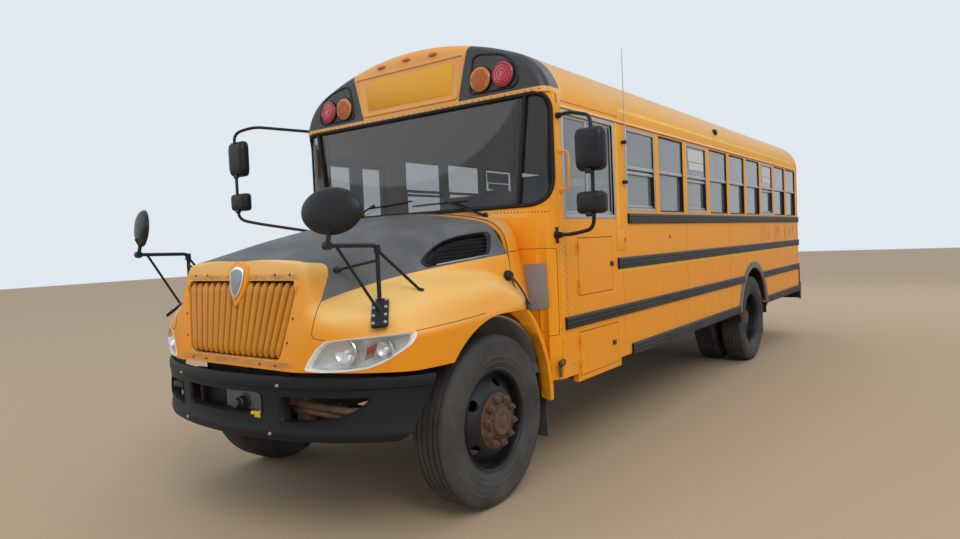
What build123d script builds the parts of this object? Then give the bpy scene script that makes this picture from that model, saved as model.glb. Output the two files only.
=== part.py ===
from build123d import *
from math import atan2, cos, sin
import os

# School bus with a long nose, parked on its wheels. Millimetres.
# +X points forward, +Y to the driver's side, +Z up.
# The origin is on the ground under the middle of the length and width.

# Driving dimensions of the chassis
tyre_radius = 525
hub_height = tyre_radius
wheelbase = 5512
front_overhang = 1160  # front axle to bumper face
rear_overhang = 2838  # rear axle to rear bumper face
overall_length = front_overhang + wheelbase + rear_overhang
front_axle_x = overall_length / 2 - front_overhang
rear_axle_x = front_axle_x - wheelbase
rail_spacing = 864  # over the webs
rail_depth = 250
rail_top = 950
rail_flange = 80
rail_wall = 9

# Driving dimensions of the body
body_width = 2438
half_width = body_width / 2
wall = 45
skirt_z = 665
floor_top = 1010
floor_thick = floor_top - rail_top
gutter_z = 2530
crown_z = 3095
roof_corner = 400  # radius of the roof's side bends
plan_corner = 130  # radius of the body's upright corners
bumper_depth = 90
body_rear_x = -overall_length / 2 + bumper_depth
body_front_x = front_axle_x - 570  # windshield plane
pillar_x = body_front_x - plan_corner  # where the side walls start
cap_depth = 210  # front cap, along X
cap_lower_z = 2600

# Side windows
window_pitch = 700
window_width = 605
rear_post = 130  # least wall behind the last window
window_sill_z = 1817
window_head_z = 2490
window_frame = 22
glass_thick = 6
first_window_x = front_axle_x - 2090  # centre of the foremost passenger window
window_count = int((first_window_x - window_width / 2 - body_rear_x - rear_post) // window_pitch) + 1
driver_window_rear_x = front_axle_x - 1570
driver_window_width = 830
driver_window_sill_z = 1753
driver_window_head_z = 2500

# Windshield
windshield_sill_z = 1857
windshield_divider_y = 960
divider_width = 36

# Doors and clearances
gap = 6  # between a door and its frame
seat_gap = 0.3  # between pieces of different bodies that rest on each other
pin_clearance = 0.06
entry_front_x = front_axle_x - 745
entry_width = 780
entry_bottom_z = 385
entry_head_z = 2440
entry_gap = 14  # between the two leaves
leaf_thick = 40
hinge_out = 12  # hinge axis outside the skin
hinge_radius = 9  # outside of a hinge barrel
hinge_pin = 5
hinge_plate = 4
hinge_leaf = 30  # a hinge plate's width
hinge_barrel = 30  # height of each of a hinge's three barrels
step_count = 3
step_depth = 225
emergency_width = 660
emergency_sill_z = floor_top + 20
emergency_head_z = 2470
battery_front_x = front_axle_x - 897
battery_width = 643
battery_z = (640, 953)
battery_drop_z = 605  # skirt under the battery door
access_front_x = front_axle_x - 913
access_width = 557
access_z = (1207, 1620)
panel_thick = 25
hatch_x = -600
hatch_size = 620

# Rub rails: centre height, height, front end behind the front axle
rub_rail_rows = (
    (1757, 82, 1780),
    (1405, 88, 1565),
    (1036, 85, 700),
    (698, 91, 1780),
)
rub_rail_depth = 18

# Wheels
tyre_width = 275
rim_radius = 308
dual_spacing = 335
front_track = body_width - 448
rear_dual_outer_y = half_width - 12
arch_radius = 595
arch_center_z = 560
arch_trim_width = 73
kingpin_y = front_track / 2 - 165
steer_arm = 190
hand_holes = 5
hand_hole_radius = 29

parts = {}


def block(x, y, z):
    """A box from three pairs of limits."""
    return Pos((x[0] + x[1]) / 2, (y[0] + y[1]) / 2, (z[0] + z[1]) / 2) * Box(
        x[1] - x[0], y[1] - y[0], z[1] - z[0]
    )


def rod(start, end, radius):
    """A round bar between two points."""
    line = Line(start, end)
    return extrude(Plane(origin=line @ 0, z_dir=line % 0) * Circle(radius), line.length)


def tube(points, bend, radius):
    """A bent round bar along straight runs and arcs."""
    path = FilletPolyline(*points, radius=bend)
    return sweep(Plane(origin=path @ 0, z_dir=path % 0) * Circle(radius), path=path)


def mirrored(shape):
    """The shape and its copy on the other side."""
    return [shape, mirror(shape, about=Plane.XZ)]


def across(sketch, y0, y1):
    """Extrude a sketch drawn as (X, Z) from y0 to y1."""
    return extrude(Plane.XZ.offset(-y1) * sketch, y1 - y0)


def along(sketch, x0, x1):
    """Extrude a sketch drawn as (Y, Z) from x0 to x1."""
    return extrude(Plane.YZ.offset(x0) * sketch, x1 - x0)


def upward(sketch, z0, z1):
    """Extrude a sketch drawn as (X, Y) from z0 to z1."""
    return extrude(Plane.XY.offset(z0) * sketch, z1 - z0)


def turned(sketch, x, y, z):
    """Revolve a sketch drawn as (radius, Y) round an axle at x and z."""
    return Pos(x, y, z) * revolve(sketch, Axis.Y)


def roof_face(inset):
    """The region under the roof's arcs, down to the gutter, as (Y, Z)."""
    half = half_width - inset
    rise = crown_z - gutter_z - inset
    corner = roof_corner - inset
    bend_y = half - corner
    crown = (bend_y**2 + rise**2 - corner**2) / (2 * (rise - corner))
    reach = crown / (crown - corner)
    lean = atan2(crown - rise, bend_y)
    touch = (bend_y * reach, rise - crown + (crown - rise) * reach)
    mid = (bend_y + corner * cos(lean / 2), corner * sin(lean / 2))
    edges = [
        Line((-half, 0), (half, 0)),
        ThreePointArc((half, 0), mid, touch),
        ThreePointArc(touch, (0, rise), (-touch[0], touch[1])),
        ThreePointArc((-touch[0], touch[1]), (-mid[0], mid[1]), (-half, 0)),
    ]
    return Pos(0, gutter_z) * make_face(edges)


def plan_face(inset, x0, x1, rounded_front):
    """The body's outline seen from above, round at one end, as (X, Y)."""
    half = half_width - inset
    face = Pos((x0 + x1) / 2, 0) * Rectangle(x1 - x0, 2 * half)
    end = face.vertices().group_by(Axis.X)[-1 if rounded_front else 0]
    return fillet(end, plan_corner - inset)


def end_shell(x0, x1, z0, z1, rounded_front):
    """An upright U-shaped wall that closes one end of the body."""
    x_in = (x0, x1 - wall) if rounded_front else (x0 + wall, x1)
    outer = plan_face(0, x0, x1, rounded_front)
    inner = plan_face(wall, *x_in, rounded_front)
    return upward(outer, z0, z1) - upward(inner, z0 - 1, z1 + 1)


def hinge_sides(x, y, z, out, toward):
    """The fixed side and the moving side of a butt hinge on an upright axis.

    out points away from the skin and toward points to the moving side, as (X, Y).
    """
    place = Plane(origin=(x, y, z), x_dir=(*toward, 0), z_dir=(0, 0, 1))
    side = 1 if (toward[0] * out[1] - toward[1] * out[0]) > 0 else -1
    skin = -side * hinge_out
    halves = []
    for end in (-1, 1):
        plate = block(
            sorted((end * 2, end * hinge_leaf)), sorted((skin, skin + side * hinge_plate)), (-1.5 * hinge_barrel, 1.5 * hinge_barrel)
        )
        web = block(sorted((0, end * hinge_radius)), sorted((0, skin)), (-1.5 * hinge_barrel, 1.5 * hinge_barrel))
        half = web + Cylinder(hinge_radius, 3 * hinge_barrel)
        middle = Cylinder(2 * hinge_out, hinge_barrel + 2 * (seat_gap if end < 0 else 0))
        half = half - middle if end < 0 else half & middle
        if end < 0:
            half += plate - block((-2 * hinge_radius, 0), (-50, 50), (-hinge_barrel / 2 - seat_gap, hinge_barrel / 2 + seat_gap))
            half += Cylinder(hinge_pin, 3 * hinge_barrel)
        else:
            half += plate - block((0, 2 * hinge_radius), (-50, 50), (-50, -hinge_barrel / 2))
            half -= block((-hinge_radius, hinge_radius + 1), (-50, 50), (hinge_barrel / 2, 50))
            half -= block((-hinge_radius, hinge_radius + 1), (-50, 50), (-50, -hinge_barrel / 2))
            half -= Cylinder(hinge_pin + pin_clearance, 4 * hinge_barrel)
        halves.append(place * half)
    return halves


def add_hinges(fixed, moving, x, y, heights, out, toward):
    """Join a wall and its door with hinges at several heights."""
    for z in heights:
        fixed_side, moving_side = hinge_sides(x, y, z, out, toward)
        fixed += fixed_side
        moving += moving_side
    return fixed, moving


# Roof, front cap and rear cap

hatch_x_range = (hatch_x - hatch_size / 2, hatch_x + hatch_size / 2)
cap_seam_x = body_front_x - cap_depth
roof_solid = along(roof_face(0), body_rear_x, cap_seam_x)
roof_rise = crown_z - gutter_z
rear_round = min(110, 0.3 * roof_rise)
front_round = min(70, 0.2 * roof_rise)
roof_solid = fillet(roof_solid.faces().sort_by(Axis.X)[0].edges().sort_by(Axis.Z)[1:], rear_round)
roof_solid -= along(roof_face(wall), body_rear_x + wall, cap_seam_x + 1)
hatch_hole = block(hatch_x_range, (-hatch_size / 2, hatch_size / 2), (crown_z - 200, crown_z + 100))
hatch_rim = block(
    (hatch_x_range[0] - 30, hatch_x_range[1] + 30),
    (-hatch_size / 2 - 30, hatch_size / 2 + 30),
    (crown_z - 80, crown_z + 25),
)
parts["roof"] = roof_solid + hatch_rim - hatch_hole

cap_solid = along(roof_face(0), cap_seam_x, body_front_x)
cap_solid = fillet(cap_solid.faces().sort_by(Axis.X)[-1].edges().sort_by(Axis.Z)[1:], front_round)
cap_solid &= upward(plan_face(0, cap_seam_x, body_front_x, True), gutter_z, crown_z)
cap_solid -= along(roof_face(wall), cap_seam_x - 1, body_front_x - wall)
cap_solid -= block((pillar_x, body_front_x + 1), (-half_width, half_width), (gutter_z - 1, cap_lower_z))
parts["front_cap"] = cap_solid

# Floor with step well and wheel housings

entry_x = (entry_front_x - entry_width, entry_front_x)
inside_y = half_width - wall
step_rise = (floor_top - entry_bottom_z) / step_count
well_y = (-inside_y, -inside_y + step_count * step_depth)
tread_thick = 30
riser_thick = 25
housing_skin = 20
housing_width = 640
well_x = (entry_x[0] - riser_thick, entry_x[1] + riser_thick)
floor_solid = upward(plan_face(wall, body_rear_x + wall, pillar_x, False), rail_top, floor_top)
floor_solid -= block(well_x, (well_y[0] - 1, well_y[1]), (rail_top - 1, floor_top + 1))
lower_steps = [(well_y[0], entry_bottom_z)]
upper_steps = [(well_y[0] - 1, entry_bottom_z + tread_thick)]
for step in range(step_count):
    tread_z = entry_bottom_z + step * step_rise
    back_y = well_y[0] + (step + 1) * step_depth
    lower_steps += [(back_y, tread_z), (back_y, tread_z + step_rise)]
    front_z = tread_z + tread_thick
    upper_steps += [(back_y - riser_thick, front_z), (back_y - riser_thick, front_z + step_rise)]
lower_steps[-1] = (well_y[1], floor_top)
upper_steps[-1] = (well_y[1] - riser_thick, floor_top + 1)
step_well = along(make_face(Polyline(*lower_steps, (well_y[0], floor_top), close=True)), *well_x)
step_well -= along(make_face(Polyline(*upper_steps, (well_y[0] - 1, floor_top + 1), close=True)), *entry_x)
floor_solid += step_well
housing_low = Pos(rear_axle_x, rail_top + 1000) * Rectangle(4 * arch_radius, 2000)
housing_out = (Pos(rear_axle_x, arch_center_z) * Circle(arch_radius + housing_skin)) & housing_low
housing_in = Pos(rear_axle_x, arch_center_z) * Circle(arch_radius)
housing = across(housing_out, inside_y - housing_width, inside_y)
housing -= across(housing_in, inside_y - housing_width + housing_skin, inside_y + 1)
housing_void = across(housing_in, inside_y - housing_width + housing_skin, inside_y + 1)
for side, void in zip(mirrored(housing), mirrored(housing_void)):
    floor_solid -= void
    floor_solid += side
parts["floor"] = floor_solid

# Side walls

def window_span(index):
    """The limits of one passenger window along X."""
    center = first_window_x - index * window_pitch
    return center - window_width / 2, center + window_width / 2


arch_hole = Pos(rear_axle_x, arch_center_z) * Circle(arch_radius)
wall_rear_x = body_rear_x + plan_corner
wall_y = (inside_y, half_width)
driver_window_x = (driver_window_rear_x, driver_window_rear_x + driver_window_width)
battery_x = (battery_front_x - battery_width, battery_front_x)
access_x = (access_front_x - access_width, access_front_x)


def side_wall():
    """The plain left wall with its windows and wheel arch cut."""
    solid = block((wall_rear_x, pillar_x), wall_y, (skirt_z, gutter_z))
    for index in range(window_count):
        solid -= block(window_span(index), (0, 2 * half_width), (window_sill_z, window_head_z))
    solid -= across(arch_hole, 0, 2 * half_width)
    return solid


left_wall = side_wall()
left_wall -= block(driver_window_x, (0, 2 * half_width), (driver_window_sill_z, driver_window_head_z))
left_wall += block((battery_x[0] - 30, battery_x[1] + 30), wall_y, (battery_drop_z, skirt_z))
left_wall -= block(battery_x, (0, 2 * half_width), battery_z)
left_wall -= block(access_x, (half_width - panel_thick - seat_gap, 2 * half_width), access_z)
parts["left_wall"] = left_wall
right_wall = mirror(side_wall(), about=Plane.XZ)
right_wall -= block(entry_x, (-2 * half_width, 0), (0, entry_head_z))
parts["right_wall"] = right_wall

# Rear wall

emergency_y = (-emergency_width / 2, emergency_width / 2)
emergency_z = (emergency_sill_z, emergency_head_z)
rear_window_y = (430, 1040)
rear_window_z = (window_sill_z, 2400)
rear_wall = end_shell(body_rear_x, wall_rear_x, skirt_z, gutter_z, False)
rear_wall -= block((body_rear_x - 1, body_rear_x + wall + 1), emergency_y, emergency_z)
for sign in (1, -1):
    y0, y1 = sorted((sign * rear_window_y[0], sign * rear_window_y[1]))
    rear_wall -= block((body_rear_x - 1, body_rear_x + wall + 1), (y0, y1), rear_window_z)
parts["rear_wall"] = rear_wall

# Cowl: wall under the windshield, front pillars, fender tails

hood_rear_x = front_axle_x - 265
cowl_solid = end_shell(pillar_x, body_front_x, skirt_z, windshield_sill_z, True)
for sign in (1, -1):
    y0, y1 = sorted((sign * inside_y, sign * half_width))
    cowl_solid += block((pillar_x, pillar_x + 40), (y0, y1), (skirt_z, gutter_z))

# Hood sections, nose first row to cowl last row, from the front axle:
# x, side and fender y inboard of the body's side with crease and fender z,
# then ledge y and z, seam y and z, shoulder y and z, and crown z
hood_table = (
    (1085, 659, 1090, 664, 1150, 556, 1200, 545, 1235, 505, 1500, 1545),
    (1045, 579, 1100, 589, 1180, 606, 1240, 590, 1285, 525, 1530, 1560),
    (900, 259, 1130, 339, 1235, 735, 1290, 660, 1320, 580, 1555, 1600),
    (727, 69, 1150, 179, 1285, 830, 1350, 735, 1378, 640, 1580, 1655),
    (400, 29, 1165, 109, 1345, 960, 1420, 845, 1445, 740, 1630, 1732),
    (0, 24, 1190, 79, 1370, 1070, 1440, 975, 1500, 860, 1700, 1800),
    (-265, 19, 1225, 47, 1262, 1080, 1380, 1062, 1535, 935, 1740, 1840),
)
hood_rows = [
    (x, half_width - side_in, crease_z, half_width - fender_in, *rest)
    for x, side_in, crease_z, fender_in, *rest in hood_table
]
hood_wall = 28
hood_low_z = 968
nose_low_x = 1066  # nose face at its lower edge, from the front axle
nose_lean = 0.168  # nose face leans back this much per unit of height
front_arch_radius = 640
front_arch_z = 545
hood_hinge_x = front_axle_x + 1040
hood_hinge_z = 992
hood_hinge_y = 390
hinge_pin_radius = 8


def hood_face(row, inset, low_z):
    """One cross-section of the hood at its place along X."""
    x, side_y, crease_z, fender_y, fender_z, ledge_y, ledge_z, *upper = row
    seam_y, seam_z, shoulder_y, shoulder_z, crown = upper
    side = (side_y - inset, low_z)
    crease = (side_y - inset, crease_z - inset)
    fender = (fender_y - inset, fender_z - inset)
    ledge = (ledge_y - inset, ledge_z - inset)
    seam = (seam_y - inset, seam_z - inset)
    shoulder = (shoulder_y - inset, shoulder_z - inset)
    top = (0, crown - inset)

    def other(point):
        return -point[0], point[1]

    edges = [
        Line(other(side), side),
        Line(side, crease),
        Line(crease, fender),
        Line(fender, ledge),
        Line(ledge, seam),
        Line(seam, shoulder),
        ThreePointArc(shoulder, top, other(shoulder)),
        Line(other(shoulder), other(seam)),
        Line(other(seam), other(ledge)),
        Line(other(ledge), other(fender)),
        Line(other(fender), other(crease)),
        Line(other(crease), other(side)),
    ]
    return Plane.YZ.offset(front_axle_x + x) * make_face(edges)


def hood_form(inset, low_z):
    """The hood's outer form, or a smaller one inside it."""
    form = loft([hood_face(row, inset, low_z) for row in hood_rows], ruled=True)
    nose = nose_low_x - inset
    face = Polyline(
        (front_axle_x + nose, low_z - 1),
        (front_axle_x + nose - nose_lean * (2000 - low_z), 2000),
        (front_axle_x + 1500, 2000),
        (front_axle_x + 1500, low_z - 1),
        close=True,
    )
    return form - across(make_face(face), -2000, 2000)


hood_outer = hood_form(0, hood_low_z)
hood_inner = hood_form(hood_wall, hood_low_z - 5)
wheel_void = across(Pos(front_axle_x, front_arch_z) * Circle(front_arch_radius), -2000, 2000)
wheel_void += block((front_axle_x - 1000, front_axle_x), (-2000, 2000), (0, 1185))
hood_rear_cut = block((front_axle_x - 400, front_axle_x - 264), (-900, 900), (0, 1700))

# Headlight outline as (Y, Z)
lamp_tip_y = half_width - 59
headlight_points = (
    (640, 985), (700, 1130), (lamp_tip_y, 1150), (lamp_tip_y - 40, 1080), (lamp_tip_y - 150, 1010)
)
headlight_outline = make_face(Polyline(*headlight_points, close=True))
light_zone = along(headlight_outline, front_axle_x + 560, front_axle_x + 1200)
light_zones = light_zone + mirror(light_zone, about=Plane.XZ)
light_depth = 60
lamp_bodies = (hood_outer - hood_form(light_depth, hood_low_z - 5)) & light_zones

# Grille outline as (Y, Z) and its bars
grille_half_top = 536
grille_half_low = 432
grille_z = (1017, 1452)
grille_bars = 16
grille_depth = 24
grille_outline = make_face(
    Polyline(
        (-grille_half_low, grille_z[0]),
        (grille_half_low, grille_z[0]),
        (grille_half_top, grille_z[1]),
        (-grille_half_top, grille_z[1]),
        close=True,
    )
)
grille_zone = along(grille_outline, front_axle_x + 800, front_axle_x + 1200)

hood_shell = hood_outer - hood_inner - wheel_void - light_zones - grille_zone
rail_lugs = []
for sign in (1, -1):
    lug_y = sorted((sign * (hood_hinge_y + 10), sign * (hood_hinge_y + 33)))
    arm_y = sorted((sign * (hood_hinge_y - 6), sign * (hood_hinge_y + 6)))
    notch_y = sorted((sign * (hood_hinge_y - 16), sign * (hood_hinge_y + 32)))
    hood_shell -= block((hood_hinge_x - 60, hood_hinge_x + 60), notch_y, (0, hood_hinge_z + 24))
    lug = block((hood_hinge_x - 14, hood_hinge_x + 8), lug_y, (hood_hinge_z - 14, hood_hinge_z + 14))
    bore = Pos(hood_hinge_x, hood_hinge_z) * Circle(hinge_pin_radius + pin_clearance)
    hood_shell += lug - across(bore, -2000, 2000)
    arm = block((front_axle_x + 930, hood_hinge_x), arm_y, (hood_hinge_z - 11, hood_hinge_z + 11))
    arm += across(Pos(hood_hinge_x, hood_hinge_z) * Circle(11), *arm_y)
    arm += block((front_axle_x + 860, front_axle_x + 950), arm_y, (rail_top - 40, hood_hinge_z + 11))
    pin_y = sorted((sign * (hood_hinge_y - 6), sign * (hood_hinge_y + 24)))
    arm += across(Pos(hood_hinge_x, hood_hinge_z) * Circle(hinge_pin_radius), *pin_y)
    rail_lugs.append(arm)
parts["hood_shell"] = hood_shell
parts["headlights"] = lamp_bodies - wheel_void

grille_back = hood_form(grille_depth, hood_low_z - 5)
grille_form = (hood_outer - grille_back) & grille_zone
bar_pitch = 2 * grille_half_low / grille_bars
bar_cut = None
for index in range(grille_bars + 1):
    share = 2 * index / grille_bars - 1
    low_y = share * grille_half_low
    top_y = share * grille_half_top
    slot = make_face(
        Polyline(
            (low_y - 7, grille_z[0] + 12),
            (low_y + 7, grille_z[0] + 12),
            (top_y + 8, grille_z[1] - 12),
            (top_y - 8, grille_z[1] - 12),
            close=True,
        )
    )
    cut = along(slot, front_axle_x + 800, front_axle_x + 1200)
    bar_cut = cut if bar_cut is None else bar_cut + cut
parts["grille"] = grille_form - bar_cut

# Crossover mirrors on the fenders
crossover_y = 914
crossover_plate = (805, 963, 1264)  # middle of the base plate, X from the front axle
plate_size = (204, 74, 30)
rod_x = 757
rod_z = (1316, 1622)
arm_x = 1105
brace_feet = ((805, 642, 1498), (514, 996, 1362))
crossover_rod = 9
pod_x = 1062
pod_z = 1803
pod_half = (172, 120)
pod_depth = 62
pod_dome = 260  # radius of the mirror's convex face
pod_turn = 18  # degrees the pod turns outward


def crossover_mirror():
    """One convex mirror on a braced post that stands on the fender."""
    lean = Plane(
        origin=(front_axle_x + crossover_plate[0], *crossover_plate[1:]),
        x_dir=(108, 95, -144),
        z_dir=(0.513, 0.304, 0.803),
    )
    solid = lean * Box(*plate_size)
    post_x = front_axle_x + rod_x
    head_x = front_axle_x + arm_x
    top = (post_x, crossover_y, rod_z[1])
    low = (post_x, crossover_y, rod_z[0])
    elbow = (head_x, crossover_y, rod_z[1] + 8)
    solid += rod(low, top, crossover_rod) + rod(top, elbow, crossover_rod)
    solid += rod(elbow, (post_x, crossover_y, rod_z[0] + 45), crossover_rod)
    for foot, height in zip(brace_feet, (1600, 1560)):
        foot_at = (front_axle_x + foot[0], foot[1], foot[2] - 5)
        solid += rod((post_x, crossover_y, height), foot_at, crossover_rod - 1)
    solid += Pos(*top) * Sphere(16) + Pos(*elbow) * Sphere(16)
    solid -= hood_outer
    solid += rod(elbow, (head_x, crossover_y, pod_z), 11)
    solid += rod((head_x, crossover_y, pod_z), (front_axle_x + pod_x, crossover_y, pod_z), 12)
    pod = along(Ellipse(*pod_half), -pod_depth, pod_depth)
    for way, dome in ((1, pod_dome), (-1, 1.6 * pod_dome)):
        pod &= Pos(way * (dome - pod_depth), 0, 0) * Sphere(dome)
    return solid + Pos(front_axle_x + pod_x, crossover_y, pod_z) * Rot(0, 0, pod_turn) * pod


parts["crossover_mirrors"] = mirrored(crossover_mirror())

# Cowl top and fender tails behind the hood
cowl_gap = 8
wheel_sweep_z = 800  # lower edge of the front wall behind the turned wheels
cowl_front_x = hood_rear_x - cowl_gap
strip_length = cowl_front_x - body_front_x + 1
strip_wall = 60
strip_side_y = half_width - 119
strip_row = (cowl_front_x - front_axle_x, strip_side_y, 1225, strip_side_y - 4, 1262, strip_side_y - 20, 1380)
strip_row += hood_rows[-1][7:]
strip = extrude(hood_face(strip_row, 0, 1190), strip_length, dir=(-1, 0, 0))
strip -= extrude(hood_face(strip_row, strip_wall, 1100), strip_length, dir=(-1, 0, 0))
tail_y = (half_width - 129, half_width - 39)
tail_points = (
    (-285, 1200), (-430, 1075), (-530, 900), (-575, 740), (-575, 550),
    (-548, 550), (-535, 715), (-485, 885), (-400, 1015), (-300, 1105), (-260, 1130), (-260, 1200),
)
tail_side = Polyline(*((front_axle_x + x, z) for x, z in tail_points), close=True)
fender_tail = across(make_face(tail_side), *tail_y)
fender_tail -= block((cowl_front_x, front_axle_x), (0, half_width), (0, 2000))
fender_tail -= upward(plan_face(-1, pillar_x - 300, body_front_x + 1, True), skirt_z, 2000)
cowl_solid += strip
rail_pass_y = (-rail_spacing / 2 - 25, rail_spacing / 2 + 25)
cowl_solid -= block((body_front_x - wall - 1, body_front_x + 1), rail_pass_y, (skirt_z - 1, rail_top))
cowl_solid -= block((body_front_x - 1, front_axle_x), (-700, 700), (1190, 1300))
wheel_sweep_y = (rail_spacing / 2 + 40, half_width - 80)
wheel_sweep = block((body_front_x - wall - 1, body_front_x + 1), wheel_sweep_y, (skirt_z - 1, wheel_sweep_z))
cowl_solid -= wheel_sweep + mirror(wheel_sweep, about=Plane.XZ)
cowl_solid += fender_tail + mirror(fender_tail, about=Plane.XZ)
parts["cowl"] = cowl_solid

# Windshield panes with their dividers
pane_inset = 14
pane_z = (windshield_sill_z, cap_lower_z)


def curved_pane(inset, thick, y0, y1, z):
    """A strip of the body's front surface, as thick as asked."""
    outer = plan_face(inset, pillar_x - plan_corner, body_front_x - inset, True)
    inner = plan_face(inset + thick, pillar_x - plan_corner, body_front_x - inset - thick, True)
    return (upward(outer, *z) - upward(inner, *z)) & block((pillar_x + 40, body_front_x), (y0, y1), z)


center_y = windshield_divider_y - divider_width / 2
corner_y = windshield_divider_y + divider_width / 2
parts["windshield"] = [
    curved_pane(pane_inset, glass_thick, -center_y, center_y, pane_z),
    curved_pane(pane_inset, glass_thick, corner_y, half_width, pane_z),
    curved_pane(pane_inset, glass_thick, -half_width, -corner_y, pane_z),
]
parts["windshield_posts"] = mirrored(curved_pane(4, 40, center_y, corner_y, pane_z))

# Body windows: frames with glass, as one unit each
pane_y = half_width - 24


def window_unit(x, z, rail_share):
    """A framed sash window in the left wall, with a meeting rail."""
    hole = block(
        (x[0] + window_frame, x[1] - window_frame),
        (0, 2 * half_width),
        (z[0] + window_frame, z[1] - window_frame),
    )
    solid = block(x, (half_width - 38, half_width - 6), z) - hole
    rail_z = z[0] + rail_share * (z[1] - z[0])
    solid += block(x, (half_width - 36, half_width - 12), (rail_z - 14, rail_z + 14))
    return solid + block(x, (pane_y - glass_thick, pane_y), z)


left_units = [
    window_unit(window_span(index), (window_sill_z, window_head_z), 0.525) for index in range(window_count)
]
right_units = [mirror(unit, about=Plane.XZ) for unit in left_units]
driver_z = (driver_window_sill_z, driver_window_head_z)
left_units.append(window_unit(driver_window_x, driver_z, 0.02))
parts["left_windows"] = left_units
parts["right_windows"] = right_units
rear_pane_x = (body_rear_x + 18, body_rear_x + 18 + glass_thick)
parts["rear_windows"] = mirrored(block(rear_pane_x, rear_window_y, rear_window_z))

# Rub rails
rail_rear_x = body_rear_x + plan_corner
arch_outer = arch_radius + arch_trim_width
arch_block = across(Pos(rear_axle_x, arch_center_z) * Circle(arch_outer + 4), 0, 2 * half_width)
rub_rails = []
for center_z, height, front_offset in rub_rail_rows:
    front_x = front_axle_x - front_offset
    profile = Pos(half_width + rub_rail_depth / 2, center_z) * Rectangle(rub_rail_depth, height)
    groove = Pos(half_width + rub_rail_depth, center_z) * Rectangle(14, height / 5)
    rail = along(profile - groove, rail_rear_x, front_x)
    rail -= arch_block
    rub_rails += [piece for solid in mirrored(rail) for piece in solid.solids()]
entry_gap_zone = block(
    (entry_x[0] - 40, entry_x[1] + 60), (-2 * half_width, 0), (0, entry_head_z)
)
parts["rub_rails"] = [
    piece for solid in rub_rails for piece in (solid - entry_gap_zone).solids()
]

# Wheel arch trims
trim = across(
    Pos(rear_axle_x, arch_center_z) * (Circle(arch_outer) - Circle(arch_radius)),
    half_width,
    half_width + 14,
)
trim &= block((-overall_length, overall_length), (0, 2 * half_width), (skirt_z, 2000))
parts["arch_trims"] = mirrored(trim)

# Entry door: two glazed leaves, each hinged at its own jamb
leaf_width = (entry_width - entry_gap) / 2 - gap
leaf_z = (entry_bottom_z + 40, entry_head_z - gap)
leaf_y = (-half_width, -half_width + leaf_thick)


def door_leaf(x):
    """A framed leaf with two panes."""
    solid = block(x, leaf_y, leaf_z)
    for z in ((1270, 2360), (560, 1190)):
        solid -= block((x[0] + 60, x[1] - 60), (-2 * half_width, 0), z)
        solid += block((x[0] + 60, x[1] - 60), (leaf_y[0] + 17, leaf_y[0] + 17 + glass_thick), z)
    return solid


entry_hinge_z = (leaf_z[0] + 400, leaf_z[1] - 120)
front_leaf = door_leaf((entry_x[1] - gap - leaf_width, entry_x[1] - gap))
rear_leaf = door_leaf((entry_x[0] + gap, entry_x[0] + gap + leaf_width))
outside_y = half_width + hinge_out
right_wall, front_leaf = add_hinges(right_wall, front_leaf, entry_x[1], -outside_y, entry_hinge_z, (0, -1), (-1, 0))
right_wall, rear_leaf = add_hinges(right_wall, rear_leaf, entry_x[0], -outside_y, entry_hinge_z, (0, -1), (1, 0))
parts["right_wall"] = right_wall
parts["entry_leaf_front"] = front_leaf
parts["entry_leaf_rear"] = rear_leaf

# Rear emergency door
door_y = (emergency_y[0] + gap, emergency_y[1] - gap)
door_z = (emergency_z[0] + gap, emergency_z[1] - gap)
emergency = block((body_rear_x, body_rear_x + wall), door_y, door_z)
for z in ((1800, 2390), (1330, 1690)):
    emergency -= block((body_rear_x - 1, body_rear_x + wall + 1), (door_y[0] + 80, door_y[1] - 80), z)
    emergency += block(rear_pane_x, (door_y[0] + 80, door_y[1] - 80), z)
emergency_hinge_z = (door_z[0] + 180, (door_z[0] + door_z[1]) / 2, door_z[1] - 180)
rear_wall, emergency = add_hinges(
    rear_wall, emergency, body_rear_x - hinge_out, emergency_y[0], emergency_hinge_z, (-1, 0), (0, 1)
)
parts["rear_wall"] = rear_wall
parts["emergency_door"] = emergency

# Battery door, access door and roof hatch
panel_y = (half_width - panel_thick, half_width)


def flush_door(x, z):
    """A flush panel in the left wall."""
    return block((x[0] + gap, x[1] - gap), panel_y, (z[0] + gap, z[1] - gap))


for name, x, z in (("battery_door", battery_x, battery_z), ("access_door", access_x, access_z)):
    door = flush_door(x, z)
    left_wall, door = add_hinges(left_wall, door, x[1], outside_y, (z[0] + 70, z[1] - 70), (0, 1), (-1, 0))
    parts[name] = door
parts["left_wall"] = left_wall
lid_x = (hatch_x_range[0] - 34, hatch_x_range[1] + 34)
lid_y = hatch_size / 2 + 34
lid_z = (crown_z + 25 + seat_gap, crown_z + 55)
lid = fillet(block(lid_x, (-lid_y, lid_y), lid_z).edges().filter_by(Axis.Z), 60)
lid_axis = (lid_x[1] + 14, crown_z + 40)
lid_pin = 4
lid_barrel = 8
roof_solid = parts["roof"]
for sign in (1, -1):
    lug_y = sorted((sign * 180, sign * 200))
    post_y = sorted((sign * (200 + seat_gap), sign * 225))
    lug = block((lid_x[1] - 10, lid_axis[0]), lug_y, (lid_axis[1] - lid_barrel, lid_axis[1] + lid_barrel))
    lug += across(Pos(*lid_axis) * Circle(lid_barrel), *lug_y)
    lid += lug - across(Pos(*lid_axis) * Circle(lid_pin + pin_clearance), -500, 500)
    post = block((lid_axis[0] - lid_barrel, lid_axis[0] + lid_barrel), post_y, (crown_z - 30, lid_axis[1]))
    post += across(Pos(*lid_axis) * Circle(lid_barrel), *post_y)
    roof_solid += post + across(Pos(*lid_axis) * Circle(lid_pin), *sorted((sign * 180, sign * 225)))
parts["roof"] = roof_solid
parts["roof_hatch"] = lid

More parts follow.
